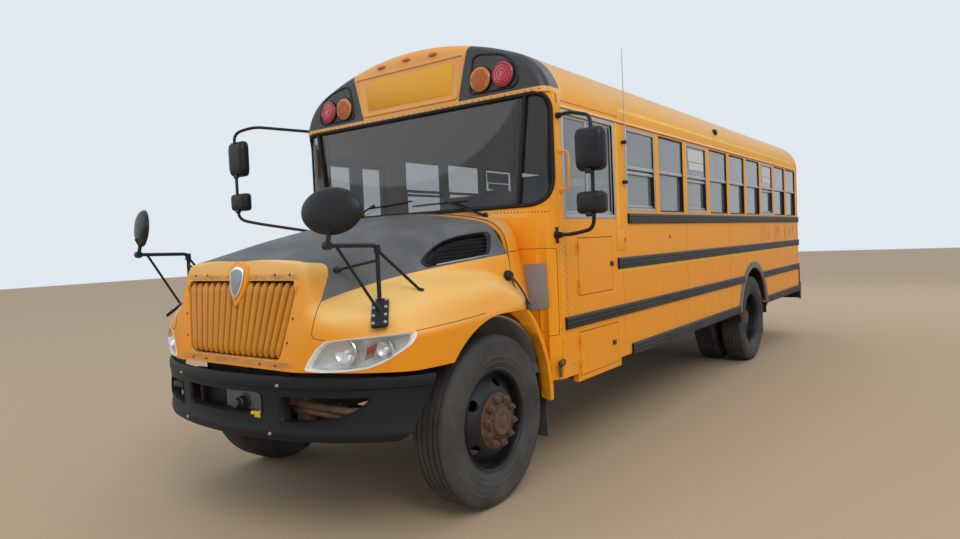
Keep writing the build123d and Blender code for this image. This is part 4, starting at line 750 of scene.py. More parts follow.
hood = Shape(None)
rows = [hoodRow(hoodKeys[0], hoodForm["lipPush"], hoodForm["lipShrink"])]
for a, b, count in zip(hoodKeys, hoodKeys[1:], hoodForm["steps"]):
    rows += [hoodRow(a + (b - a) * k / count) for k in range(count)]
rows.append(hoodRow(hoodKeys[-1]))
front = hood.grid(rows)[0]
addVert, baseSteps = hood.bm.verts.new, hoodForm["baseSteps"]
base = [addVert(front[-1].co.lerp(front[0].co, k / baseSteps)) for k in range(1, baseSteps)]
ring = front + base
inner, mid, deep = [], [], []
for v in ring:
    y, z = outlineHit(v.co.y, v.co.z)
    edge = Vector((axleX + noseX(z), y, z))
    half = v.co.lerp(edge, 0.5)
    half.x = axleX + noseX(half.z)
    mid.append(addVert(half))
    inner.append(addVert(edge))
    deep.append(addVert(edge - Vector((grilleForm["depth"], 0, 0))))
lowEdge = [front[-1]] + base + [front[0]]
tuck = [addVert(v.co - Vector((hoodForm["tuck"], 0, 0))) for v in lowEdge]
for a, b in ((ring, mid), (mid, inner), (inner, deep)):
    for j in range(len(ring)):
        k = (j + 1) % len(ring)
        hood.face([a[j], a[k], b[k], b[j]])
for j in range(len(lowEdge) - 1):
    hood.face([lowEdge[j], tuck[j], tuck[j + 1], lowEdge[j + 1]])
hoodMesh = hood.mesh("hoodSkin", 24)
if sum(p.normal.z * p.area for p in hoodMesh.polygons if p.center.z > 1.6) < 0:
    hoodMesh.flip_normals()
hoodTree = treeOf(hoodMesh)
print("hood skin:", len(hoodMesh.polygons), "faces")

headlightForm = {  # outlines by the photograph's pixels, then their depths
    "outline": ((304, 371), (308, 362), (316, 349.5), (325, 342), (345, 339.5), (375, 336.5), (400, 333.5), (417, 332),
                (416.5, 337), (412, 344), (398, 354), (384, 362.5), (368, 369), (345, 372), (322, 373)),
    "tray": ((1.004, -0.012), (1.004, 0.003), (0.97, 0.004), (0.88, -0.008)), "back": (0.82, -0.055), "cut": (0.05, 0.05),
    "bowls": ((345, 352.5, 0.064, 0.030), (384.5, 349.5, 0.046, 0.026)), "bowlIn": 0.012,
    "red": ((366.5, 347.5), (377, 343), (373.5, 357.5), (364.5, 361)), "dome": 0.010,
}
ventForm = {
    "outline": ((422, 262), (424, 257), (432, 248.5), (442, 242), (456, 237), (472, 234), (486, 232.5), (489, 236),
                (489, 247), (487.5, 254), (470, 258), (452, 261), (436, 265), (428, 267)),
    "tray": ((1.05, 0.0005), (1.045, 0.005), (0.98, 0.006), (0.93, 0.001), (0.9, -0.035), (0.02, -0.035)), "cut": (0.03, 0.04),
    "louvres": (452, 444, 436, 434.4, 430.2, 428), "louvreY": 238.5, "louvreStep": 3.7, "louvreEnd": 487,
    "strip": ((436, 265.0), (486, 255.5)),
}


def outlineOn(form):
    hits = [onto(hoodTree, p.x, p.y) for p in rounded(form["outline"], 3, 3, True)]
    return [p for p, n in hits], sum((n for p, n in hits), Vector()).normalized()


def prism(outline, normal, outward, inward):
    shape = Shape()
    shape.solid([[p + normal * outward for p in outline], [p - normal * inward for p in outline]])
    bmesh.ops.triangulate(shape.bm, faces=[f for f in shape.bm.faces if len(f.verts) > 4])
    return shape


def rings(outline, normal, levels):  # the outline shrunk about its middle and pushed out
    middle = sum(outline, Vector()) / len(outline)
    return [[middle + (p - middle) * scale + normal * push for p in outline] for scale, push in levels]


lampLine, lampNormal = outlineOn(headlightForm)
ventLine, ventNormal = outlineOn(ventForm)
reach, archZ = hoodForm["archRadius"], hoodForm["archZ"]
archLine = [(axleX + reach, 0.3)] + [(axleX + reach * math.cos(t), archZ + reach * math.sin(t)) for t in around(112)[:29]]
archLine += [(axleX - 1.0, archZ + reach), (axleX - 1.0, 0.3)]
cutters = [Shape()]
cutters[0].solid([[(x, y, z) for x, z in archLine] for y in (-1.5, 1.5)])
for line, normal, form in ((lampLine, lampNormal, headlightForm), (ventLine, ventNormal, ventForm)):
    for sign in (1, -1):
        cutters.append(prism([sided(p, sign) for p in line], sided(normal, sign), *form["cut"]))
shellMesh = cutMesh(thicken(hoodMesh, hoodForm["wall"], "hoodShell"), cutters)
place("hoodShell", repaint(shellMesh, hoodPaint), "hood", "yellow_paint", ["hood_shell"])
print("hood shell:", len(shellMesh.polygons), "faces")

# headlights: tray, bowls, reflector, clear cover
for side, sign in (("left", 1), ("right", -1)):
    line, normal = [sided(p, sign) for p in lampLine], sided(lampNormal, sign)
    lamp = Shape(trimWhite, chrome, reflectorRed, lampTray)
    tray, back = headlightForm["tray"], headlightForm["back"]
    lamp.grid(rings(line, normal, tray), 0, True)
    lamp.grid(rings(line, normal, (tray[-1], back)), 3, True)
    lamp.grid(rings(line, normal, (back, (0.02, back[1]))), 3, True)
    facing = (normal * 0.45 + Vector((1, 0, 0))).normalized()
    for px, py, wide, deepBy in headlightForm["bowls"]:
        spot = traced(hoodTree, [(px, py)], 0.0, sign)[0] - normal * headlightForm["bowlIn"]
        bowl = [(-deepBy * (1 - (t / 6) ** 2), wide * t / 6) for t in range(1, 7)]
        lamp.lathe(bowl + [(0.004, wide * 1.04), (0.0, wide * 1.1), (-0.03, wide * 1.08)], spot, facing, 28, 1)
        lamp.lathe([(-deepBy, 0.012), (-0.006, 0.012), (0.0, 0.006)], spot, facing, 12, 0)
    red = traced(hoodTree, headlightForm["red"], 0.0, sign)
    lamp.slab([p - normal * 0.016 for p in red], normal * 0.008, 0.002, 2)
    place("headlight_" + side, lamp, "hood", "lamp_clear", ["headlights"], 35)
    cover, dome, scales = Shape(coverGlass), headlightForm["dome"], (0.975, 0.8, 0.6, 0.4, 0.2, 0.02)
    outside = rings(line, normal, [(s, 0.003 + dome * (1 - s * s)) for s in scales])
    inside = rings(line, normal, [(s, 0.0005 + dome * (1 - s * s)) for s in scales[::-1]])
    cover.grid(outside + inside + outside[:1], 0, True)
    place("headlightCover_" + side, cover, "hood", "lamp_clear", (), 60)

# hood vents: tray, louvres, bright strip
for side, sign in (("left", 1), ("right", -1)):
    vent = Shape(mirrorBlack, chrome)
    vent.grid(rings([sided(p, sign) for p in ventLine], sided(ventNormal, sign), ventForm["tray"]), 0, True)
    for k, startX in enumerate(ventForm["louvres"]):
        rowY, wide = ventForm["louvreY"] + ventForm["louvreStep"] * k, ventForm["louvreEnd"] - 0.4 * k - startX
        louvre = [(startX + wide * t / 8, rowY + 3.0 * (1 - t / 8) - (startX + wide * t / 8 - 460) * 0.05) for t in range(9)]
        vent.tube(traced(hoodTree, louvre, -0.012, sign), 0.0085, 8, 0, 0.55)
    strip = between(ventForm["strip"], 10) + [ventForm["strip"][-1]]
    vent.tube(traced(hoodTree, strip, 0.004, sign), 0.006, 8, 1, 0.7)
    place("hoodVent_" + side, vent, "hood", "black_plastic")

# grille: rounded upright bars on points, a deep backing plate, blank shield
barPiece, rows, barHigh, barBack = Shape(), [], grilleForm["barHigh"], grilleForm["barBack"]
for k in range(15):
    t = k / 14
    z, ends = (t - 0.5) * barHigh, min(t, 1 - t) * barHigh
    full = 1.0 if ends > 0.02 else 0.45 + 0.55 * math.sqrt(max(0.0, 1 - (1 - ends / 0.02) ** 2))
    width, depth = grilleForm["barWidth"] * (0.90 + 0.2 * t) * full, grilleForm["barDepth"] * full
    line = [(depth * math.sin(a) ** 0.8, -width * math.cos(a)) for a in around(24)[:13]]
    line += [(barBack, line[-1][1]), (barBack, line[0][1])]
    rows.append([Vector((x - 0.004 - hoodForm["noseLean"] * z, y, z)) for x, y in line])
barPiece.solid(rows)
barSpots = []
for k in range(grilleForm["bars"]):
    share = 2 * (k + 0.5) / grilleForm["bars"] - 1
    lowY, topY = share * (grilleForm["low"][0] - 0.008), share * (grilleForm["top"][0] - 0.008)
    spot = (axleX + noseX(grilleForm["barZ"]) - 0.018, (lowY + topY) / 2, grilleForm["barZ"])
    barSpots.append((spot, (-math.atan2(topY - lowY, barHigh), 0, 0)))
barsMesh = onPoints("grilleBars", barSpots, barPiece.mesh("barOne", 50), barTree)
barsMesh.polygons.foreach_set("use_smooth", [True] * len(barsMesh.polygons))
place("grilleBars", repaint(barsMesh, grilleBarPaint), "hood", "yellow_paint", ["grille"])
backing = Shape(grilleShade)
(topY, topZ), (lowY, lowZ) = grilleForm["top"], grilleForm["low"]
lowY, lowZ, topY, topZ = lowY + 0.004, lowZ - 0.004, topY + 0.004, topZ + 0.004
backing.slab([(axleX + noseX(z) - 0.046, y, z) for y, z in ((-lowY, lowZ), (lowY, lowZ), (topY, topZ), (-topY, topZ))], (-0.004, 0, 0))
place("grilleBacking", backing, "hood", "black_plastic")

shieldForm = {"z": 1.452, "wide": 0.062, "high": 0.105,
              "half": ((0, 0.78), (0.55, 0.70), (0.98, 0.58), (1.0, 0.1), (0.80, -0.35), (0.42, -0.75), (0, -1.0)),
              "plates": ((1.42, -0.02, 0.032, 0.006), (1.06, 0.008, 0.014, 0.004), (0.86, 0.016, 0.009, 0.003))}
shield = Shape(hoodYellow, chrome, shieldBlank)
shieldLine = shieldForm["half"] + tuple((-a, b) for a, b in shieldForm["half"][-2:0:-1])
for mat, (scale, x, thick, bevel) in enumerate(shieldForm["plates"]):
    outline = [(a * shieldForm["wide"] * scale, shieldForm["z"] + b * shieldForm["high"] * scale) for a, b in shieldLine]
    shield.slab([(axleX + noseX(z) + x, y, z) for y, z in outline], (thick, 0, 0), bevel, mat)
place("grilleShield", shield, "hood", "frame_metal", (), 35)
screwSpots = [(y, 1.485) for y in (-0.46, -0.33, 0.33, 0.46)] + [(y, 0.992) for y in (-0.40, -0.26, 0.26, 0.40)]
screwSpots += [(sign * (0.475 + (z - 1.12) * 0.25 + 0.01), z) for z in (1.12, 1.25) for sign in (1, -1)]
grilleScrews = [((axleX + noseX(z) + 0.0005, y, z), (1, 0, hoodForm["noseLean"])) for y, z in screwSpots]
scatter("grilleScrews", grilleScrews, domeStud(0.008, 0.005, 8), darkMetal, "hood", 0.0, "frame_metal")
print("nose pieces ready")

# fine joints of the hood's mouldings, traced on its skin
jointForm = (((321.3, 300.5), (318.5, 307), (316.2, 313), (314, 321), (312.2, 329), (311.5, 334.5), (313, 338.3), (318, 339.8),
              (326, 340.2)),
             ((416.5, 330.8), (440, 325.3), (460, 320.5), (480, 314.8), (487, 312.6)))
joints = Shape(seamShade)
for line in jointForm:
    for sign in (1, -1):
        joints.tube(traced(hoodTree, between(line, 6), 0.0004, sign), 0.0021, 6, 0)
place("hoodJoints", joints, "hood", "yellow_paint")


# front bumper: wrapped plastic shell with openings
bumperForm = {
    "arcs": (((1.160, 0.0), (1.108, 0.467), (1.060, 0.650), 14), ((1.060, 0.650), (0.903, 0.955), (0.650, 1.205), 22)),
    "endZ": (0.597, 0.640, 0.714, 0.945), "endX": (0.812, 0.765, 0.716, 0.650), "columns": 44, "skin": 0.012,
    "profile": ((0.050, 0.930), (0.040, 0.9415), (0.018, 0.945), (0.005, 0.939), (0.0, 0.925), (0.0, 0.885), (0.006, 0.877),
                (0.006, 0.66), (0.001, 0.652), (0.0, 0.625), (0.006, 0.604), (0.020, 0.597), (0.045, 0.600)),
    "centre": (0.69, 0.125, 0.03, 0.7905), "side": ((0.470, 0.838), (0.470, 0.703), (0.640, 0.703), (0.780, 0.722), (0.890, 0.770),
                                                   (0.965, 0.838)),
    "lining": ((1.02, 0.002), (1.0, 0.003), (0.97, 0.012), (0.965, 0.064)),
}


def arcThrough(a, b, c, count):  # points on the circle through three points in plan
    ax, ay, bx, by, cx, cy = *a, *b, *c
    d = 2 * (ax * (by - cy) + bx * (cy - ay) + cx * (ay - by))
    aa, bb, cc = ax ** 2 + ay ** 2, bx ** 2 + by ** 2, cx ** 2 + cy ** 2
    ux = (aa * (by - cy) + bb * (cy - ay) + cc * (ay - by)) / d
    uy = (aa * (cx - bx) + bb * (ax - cx) + cc * (bx - ax)) / d
    r = math.hypot(ax - ux, ay - uy)
    t0, t2 = math.atan2(ay - uy, ax - ux), math.atan2(cy - uy, cx - ux)
    return [(ux + r * math.cos(t0 + (t2 - t0) * k / count), uy + r * math.sin(t0 + (t2 - t0) * k / count))
            for k in range(count + 1)]


bumperHalf = arcThrough(*bumperForm["arcs"][0]) + arcThrough(*bumperForm["arcs"][1])[1:]


def bumperPlan(inset, endX):
    pts = []
    for i, p in enumerate(bumperHalf):
        a, b = bumperHalf[max(i - 1, 0)], bumperHalf[min(i + 1, len(bumperHalf) - 1)]
        tx, ty = (b[0] - a[0], b[1] - a[1]) if i else (0.0, 1.0)
        size = math.hypot(tx, ty)
        pts.append((p[0] - inset * ty / size, p[1] + inset * tx / size))
    kept = [p for p in pts if p[0] > endX]
    if len(kept) < len(pts):
        last = pts[len(kept)]
        t = (kept[-1][0] - endX) / (kept[-1][0] - last[0])
        kept.append((endX, kept[-1][1] + (last[1] - kept[-1][1]) * t))
    return evenRow([Vector((x, y, 0)) for x, y in kept], bumperForm["columns"])


bumper, rows, endZ = Shape(), [], bumperForm["endZ"]
for inset, z in bumperForm["profile"]:
    half = bumperPlan(inset, pchip(endZ, bumperForm["endX"], max(endZ[0], min(endZ[-1], z))))
    rows.append([Vector((axleX + p.x, p.y, z)) for p in half[:0:-1]] + [Vector((axleX + p.x, -p.y, z)) for p in half])
bumper.grid(rows)
bumperSkin = bumper.mesh("bumperSkin")
if sum(p.normal.x * p.area for p in bumperSkin.polygons) < 0:
    bumperSkin.flip_normals()
cutters = [Shape(), Shape(), Shape()]
wide, high, corner, middleZ = bumperForm["centre"]
centreLine = [(a, b + middleZ) for a, b in roundRect(wide, high, corner)]
sideLine = [(p.x, p.y) for p in rounded(bumperForm["side"], 0.035, 4, True)]
openings = (centreLine, sideLine, [(-y, z) for y, z in sideLine])
for cutter, line, low in zip(cutters, openings, (1.0, 0.82, 0.82)):
    cutter.solid([[(axleX + x, y, z) for y, z in line] for x in (low, 1.3)])
bumperMesh = cutMesh(thicken(bumperSkin, bumperForm["skin"], "bumperShell"), cutters)
place("bumperShell", repaint(bumperMesh, bumperBlack), "root", "black_plastic", ["front_bumper"])


def bumperX(y):  # depth of the bumper's face at a place across the bus
    y = abs(y)
    for a, b in zip(bumperHalf, bumperHalf[1:]):
        if a[1] <= y <= b[1]:
            return axleX + a[0] + (b[0] - a[0]) * (y - a[1]) / (b[1] - a[1])
    return axleX + bumperHalf[-1][0]


def fromAxle(x, y, z):
    return Vector((axleX + x, y, z))


behind = Shape(bumperBlack, greyPanel, darkMetal, connectorYellow, rustyMetal)
for line in openings:
    midY, midZ = (sum(p[i] for p in line) / len(line) for i in (0, 1))
    rows = []
    for scale, back in bumperForm["lining"]:
        row = [(midY + (y - midY) * scale, midZ + (z - midZ) * scale) for y, z in line]
        rows.append([Vector((bumperX(y) - back, y, z)) for y, z in row])
    behind.grid(rows, 0, True)
behind.box(fromAxle(1.03, -0.10, 0.60), fromAxle(1.045, 0.335, 0.86), 0.003, 1)
behind.box(fromAxle(1.02, -0.345, 0.60), fromAxle(1.035, -0.10, 0.86), 0.003, 0)
hitch = fromAxle(1.045, 0.09, 0.765)
behind.lathe([(0, 0.034), (0.045, 0.034), (0.05, 0.028), (0.075, 0.028), (0.08, 0.022)], hitch, (1, 0, 0), 20, 2)
behind.lathe([(0, 0.05), (0.008, 0.05), (0.010, 0.045)], hitch, (1, 0, 0), 6, 2)
behind.box(fromAxle(1.085, 0.285, 0.712), fromAxle(1.135, 0.335, 0.745), 0.006, 3)
behind.tube([fromAxle(1.09, 0.24, 0.725), fromAxle(1.13, 0.27, 0.735), fromAxle(1.115, 0.30, 0.73)], 0.012, 10, 3)
for y, z, r in ((0.62, 0.775, 0.022), (0.60, 0.74, 0.016), (-0.62, 0.775, 0.022)):  # pipes
    behind.tube([fromAxle(0.97, y - 0.16, z), fromAxle(0.985, y, z + 0.004), fromAxle(0.93, y + 0.20, z - 0.02),
                 fromAxle(0.90, y + 0.26, z - 0.02)], r, 12, 4)
for sign in (1, -1):
    behind.sideBox(sign, (axleX + 0.93, axleX + 0.98), (0.46, 0.56), (0.62, 0.90), 0.004, 4)
place("bumperInner", behind, "root", "black_plastic")
boltSpots = [((bumperX(y) + 0.001, y, z), (1, math.copysign(0.05, y), 0))
             for y, z in ((0.467, 0.897), (-0.467, 0.897), (0.40, 0.633), (-0.40, 0.633))]
scatter("bumperBolts", boltSpots, domeStud(0.0115, 0.008, 14), boltGrey, "root", 0.0, "frame_metal")
print("bumper ready")

# front cap: lamp pockets, lenses, blank sign, markers
capForm = {"pocket": ((0.590, 2.668), (0.962, 2.662), (1.000, 2.700), (0.985, 2.800), (0.925, 2.872), (0.860, 2.905),
                      (0.680, 2.935), (0.628, 2.915)),
           "sign": ((-0.482, 2.662), (0.482, 2.662), (0.552, 2.962), (-0.552, 2.962)),
           "panel": ((-0.43, 2.700), (0.43, 2.700), (0.447, 2.918), (-0.447, 2.918))}
lensForm = {"radius": 0.090, "inner": 0.965, "dome": 0.016, "domeAt": 0.0145, "slopeReach": 0.7, "slopeStep": 0.26,
            "rings": (0.3, 0.55, 0.8)}
capTree = treeOf(nodes["front_cap"].data)


def capPoint(y, z, lift=0.0):
    hit, normal, face, distance = capTree.ray_cast(Vector((bodyFrontX + 1.0, y, z)), Vector((-1, 0, 0)))
    return (hit if hit else Vector((bodyFrontX, y, z))) + Vector((lift, 0, 0))


capTrim = Shape(capBlack, capPaintPlain, signYellow)
for sign in (1, -1):
    path = [capPoint(sign * p.x, p.y, 0.001) for p in rounded(capForm["pocket"], 0.035, 4, True)]
    capTrim.tube(path + path[:2], 0.0085, 8, 0)
path = [capPoint(p.x, p.y) for p in rounded(capForm["sign"], 0.035, 5, True)]
capTrim.tube(path + path[:2], 0.0095, 8, 1)
panel = [capPoint(p.x, p.y, 0.0005) for p in rounded(capForm["panel"], 0.015, 4, True)]
capTrim.slab(panel, (0.0025, 0, 0), 0.001, 2)
place("capTrim", capTrim, "root", "black_paint", (), 35)


def slopedRibs(spot, out):  # crossing ribs over a lens
    r, inner = lensForm["radius"], lensForm["radius"] * lensForm["inner"]
    for k in range(-3, 4):
        for slope in (1, -1):
            pts = []
            for t in range(9):
                a = (t / 8 - 0.5) * 2 * lensForm["slopeReach"]
                u, v = (a + k * lensForm["slopeStep"]) * r, a * slope * r
                if math.hypot(u, v) < r * 0.93:
                    height = lensForm["domeAt"] + lensForm["dome"] * math.sqrt(max(0, 1 - (u * u + v * v) / inner ** 2))
                    pts.append((spot[0] + out * height, spot[1] + u, spot[2] + v))
            if len(pts) > 2:
                yield pts


def roundRibs(spot, out):
    for ring in lensForm["rings"]:
        x = spot[0] + out * (0.0150 + lensForm["dome"] * math.sqrt(1 - ring * ring))
        yield [(x, spot[1] + ring * lensForm["radius"] * math.cos(a), spot[2] + ring * lensForm["radius"] * math.sin(a))
               for a in around(28, 2)]


for colorName, material, shadeMaterial, y, z, ribs, ribWide, instead in (
        ("red", redLens, redShade, 0.884, 2.760, roundRibs, 0.003, ["warning_lamps"]),
        ("amber", amberLens, amberShade, 0.693, 2.757, slopedRibs, 0.0035, ())):
    lens, r = Shape(material, shadeMaterial, mirrorBlack), lensForm["radius"]
    for faceX, out in ((bodyFrontX, 1), (bodyRearX, -1)):
        for sign in (1, -1):
            spot = (faceX + out * 0.001, sign * y, z)
            lens.lathe([(0, r * 1.035), (0.012, r * 1.035), (0.016, r * 0.99)], spot, (out, 0, 0), 40, 2)
            dome = [(lensForm["domeAt"] + lensForm["dome"] * math.cos(a), r * lensForm["inner"] * math.sin(a)) for a in around(28)[7::-1]]
            lens.lathe([(0.008, r * 0.97)] + dome, spot, (out, 0, 0), 40, 0)
            for pts in ribs(spot, out):
                lens.tube(pts, ribWide, 6, 1)
    place("warningLens_" + colorName, lens, "root", "lens_" + colorName, instead, 35)
lamps = Shape(amberLens, redLens, chrome, clearLens, mirrorBlack)
for y, z in ((0, 3.029), (0.264, 3.018), (-0.264, 3.018)):
    for faceX, out, mat in ((bodyFrontX, 1, 0), (bodyRearX, -1, 1)):
        rows = []
        for t in around(24)[:7]:
            wide, high, x = 0.046 * math.cos(t) + 1e-4, 0.018 * math.cos(t) + 1e-4, faceX + out * (-0.004 + 0.025 * math.sin(t))
            rows.append([(x, y + wide * math.cos(a), z + high * math.sin(a)) for a in around(24)])
        lamps.solid([[(faceX + out * -0.012, p[1], p[2]) for p in rows[0]]] + rows, mat)
for y, z, r, mat in ((1.0, 1.54, 0.09, 1), (1.0, 1.29, 0.06, 0), (0.78, 1.29, 0.06, 3)):
    for sign in (1, -1):
        spot = (bodyRearX - 0.001, sign * y, z)
        lamps.lathe([(0, r), (0.010, r), (0.013, r * 0.96)], spot, (-1, 0, 0), 32, 4)
        lamps.lathe([(0.008, r * 0.93), (0.02, r * 0.9), (0.027, r * 0.6), (0.029, 0.002)], spot, (-1, 0, 0), 32, mat)
place("markerLenses", lamps, "root", "lens_amber", ["marker_lamps"], 35)
print("cap ready")

# windshield: gasket, dividers
screenForm = {"front": 3.025, "bend": 0.130, "gasket": 0.0150, "reach": 1.262, "inset": 0.030, "z": (1.854, 2.596),
              "corners": (0.20, 0.20, 0.13, 0.13), "middleZ": 2.225, "over": 0.384, "under": 0.380,
              "surround": ((0.0, -0.006), (0.0, 0.0012), (0.25, 0.0016), (0.5, 0.0016), (0.75, 0.0016), (1.0, 0.0012), (1.0, -0.006)),
              "divider": ((0.957, 1.86), (1.042, 2.59))}


def planPoint(s, lift):  # along the body's front, s metres from the middle
    a, bend = abs(s), screenForm["bend"]
    straight = halfWidth - bend
    x, y = screenForm["front"] + lift, a
    if a > straight:
        t = (a - straight) / bend
        x, y = screenForm["front"] - bend + (bend + lift) * math.cos(t), straight + (bend + lift) * math.sin(t)
    return x, math.copysign(y, s)


side, (lowZ, topZ) = screenForm["reach"] - screenForm["inset"], screenForm["z"]
corners = [(-side, lowZ), (side, lowZ), (side, topZ), (-side, topZ)]
gasketLine = rounded(corners, screenForm["corners"], 10, True)
denseLine = []
for a, b in zip(gasketLine, gasketLine[1:] + gasketLine[:1]):
    parts = max(1, int((b - a).length / 0.06))
    denseLine += [a.lerp(b, k / parts) for k in range(parts)]
screen = Shape(seal)
path = [Vector((*planPoint(p.x, -0.002), p.y)) for p in denseLine]
screen.tube(path + path[:2], screenForm["gasket"], 10, 0)
(lowY, lowZ), (topY, topZ) = screenForm["divider"]
for sign in (1, -1):
    spots = [(sign * (lowY + (topY - lowY) * t / 6), lowZ + (topZ - lowZ) * t / 6) for t in range(7)]
    screen.tube([Vector((planPoint(y, -0.006)[0], y, z)) for y, z in spots], 0.019, 10, 0, 0.75)
place("windshieldGasket", screen, "root", "rubber", ["windshield_posts"], 45)
surround, rows = Shape(hoodYellow), []  # yellow between the gasket and the opening's square edge
for p in denseLine:
    out = Vector((p.x, p.y - screenForm["middleZ"]))
    tall = screenForm["over"] if out.y > 0 else screenForm["under"]
    grow = max(1.0, min((screenForm["reach"] + 0.008) / max(abs(out.x), 1e-6), tall / max(abs(out.y), 1e-6)))
    spots = [(out * (1 + (grow - 1) * share), lift) for share, lift in screenForm["surround"]]
    rows.append([Vector((*planPoint(q.x, lift), q.y + screenForm["middleZ"])) for q, lift in spots])
surround.grid(rows + rows[:1])
place("windshieldSurround", surround, "root", "yellow_paint", (), 30)
print("windshield ready")

# glass that closes the gaps between the windshield's panes
screenTree = treeOf(nodes["windshield"].data)
closingForm = {"x": (3.0105, 3.0055), "y": (0.82, 0.0015, 160), "z": (1.86, 2.596, 40), "fromX": 3.20, "reach": 0.30}
(outX, inX), (startY, stepY, places), (lowZ, topZ, levels) = (closingForm[axis] for axis in "xyz")
sweep = [startY + n * stepY for n in range(places)]
for sign, sideName in ((1, "Left"), (-1, "Right")):
    rows = []
    for k in range(levels + 1):
        z = lowZ + k * (topZ - lowZ) / levels
        hits = [screenTree.ray_cast(Vector((closingForm["fromX"], sign * y, z)), Vector((-1, 0, 0)), closingForm["reach"])[0]
                for y in sweep]
        gap = [n for n in range(1, places - 1) if hits[n] is None and any(hits[:n]) and any(hits[n:])]
        if gap:
            a, b = sign * sweep[gap[0] - 1], sign * sweep[gap[-1] + 1]
            rows.append([(outX, a, z), (outX, b, z), (inX, b, z), (inX, a, z)])
    closing = Shape(screenGlass)
    closing.solid(rows)
    place("windshieldClosing" + sideName, closing, "root", "glass")


# side windows: frames, meeting rails, panes
windowForm = {
    "starts": (1.202, 0.502, -0.198, -0.897, -1.597, -2.297, -2.998, -3.697, -4.397), "wide": 0.605, "z": (1.817, 2.490),
    "meet": 2.170, "face": 1.2165, "back": 1.182, "upperPane": (1.203, 1.206), "lowerPane": (1.184, 1.187),
    "bright": (0, 2, 6), "labels": (2, 6), "driver": (2.025, 2.855, 1.753, 2.500),
}


def frameBoxes(x0, x1, z0, z1, edge, low, top):  # four bars inside a rectangle: two posts, sill and head
    return (((x0, x0 + edge), (z0, z1)), ((x1 - edge, x1), (z0, z1)), ((x0 + edge, x1 - edge), (z0, z0 + low)),
            ((x0 + edge, x1 - edge), (z1 - top, z1)))


face, back, meet = windowForm["face"], windowForm["back"], windowForm["meet"]
for sign, sideName, material in ((1, "left", glass), (-1, "right", glassClear)):
    frames, panes = Shape(aluminium, seal, labelWhite), Shape(material)
    z0, z1 = windowForm["z"]
    for index, x0 in enumerate(windowForm["starts"]):
        x1, bright = x0 + windowForm["wide"], index in windowForm["bright"]
        edge, mat = (0.024, 0) if bright else (0.011, 1)
        a, b = x0 + edge, x1 - edge
        for xs, zs in frameBoxes(x0, x1, z0, z1, edge, edge * 1.1, edge * 1.1):
            frames.sideBox(sign, xs, (face - 0.006, face), zs, 0.0015, mat)
            frames.sideBox(sign, xs, (back, face - 0.006), zs, 0.0, 1)
        frames.sideBox(sign, (a, b), (1.194, face - 0.003), (meet - 0.013, meet + 0.015), 0.003, 0)
        if bright:
            frames.sideBox(sign, (a, b), (1.188, 1.208), (meet - 0.052, meet - 0.028), 0.002, 0)
            frames.sideBox(sign, (a, b), (1.188, 1.200), (z0 + 0.03, z0 + 0.052), 0.002, 0)
        for xs in ((a, a + 0.012), (b - 0.012, b)):
            frames.sideBox(sign, xs, (back + 0.001, 1.196), (z0 + 0.01, meet), 0.0, 1)
        if index in windowForm["labels"]:
            for end, zs in ((0.075, (meet + 0.155, z1 - 0.045)), (0.095, (meet + 0.075, meet + 0.145))):
                frames.sideBox(sign, (x0 + 0.075, x1 - end), (1.2080, 1.2088), zs, 0, 2)
        for ys, zs in ((windowForm["upperPane"], (meet, z1 - 0.01)), (windowForm["lowerPane"], (z0 + 0.01, meet))):
            panes.sideBox(sign, (x0 + edge * 0.5, x1 - edge * 0.5), ys, zs, 0, 0)
    if sign == 1:  # sliding window beside the front seat
        x0, x1, z0, z1 = windowForm["driver"]
        split = planeHit(588.5, 200, 1, 1.21).x
        for xs, zs in frameBoxes(x0, x1, z0, z1, 0.03, 0.032, 0.03):
            frames.sideBox(sign, xs, (back, face + 0.004), zs, 0.003, 0)
        sash = ((split - 0.014, split + 0.014), (z0 + 0.055, z1 - 0.05))
        for xs, zs in frameBoxes(x0 + 0.03, x1 - 0.03, z0 + 0.032, z1 - 0.03, 0.02, 0.023, 0.02) + (sash,):
            frames.sideBox(sign, xs, (back + 0.004, 1.206), zs, 0.002, 0)
        frames.sideBox(sign, (x0 + 0.05, x0 + 0.062), (back + 0.004, 1.203), (z0 + 0.055, z1 - 0.05), 0, 1)
        panes.sideBox(sign, (x0 + 0.03, x1 - 0.03), (1.196, 1.199), (z0 + 0.03, z1 - 0.03), 0, 0)
    place(sideName + "WindowFrames", frames, "root", "frame_metal", [sideName + "_windows"], 30)
    place(sideName + "WindowPanes", panes, "root", "glass")
print("side windows ready")

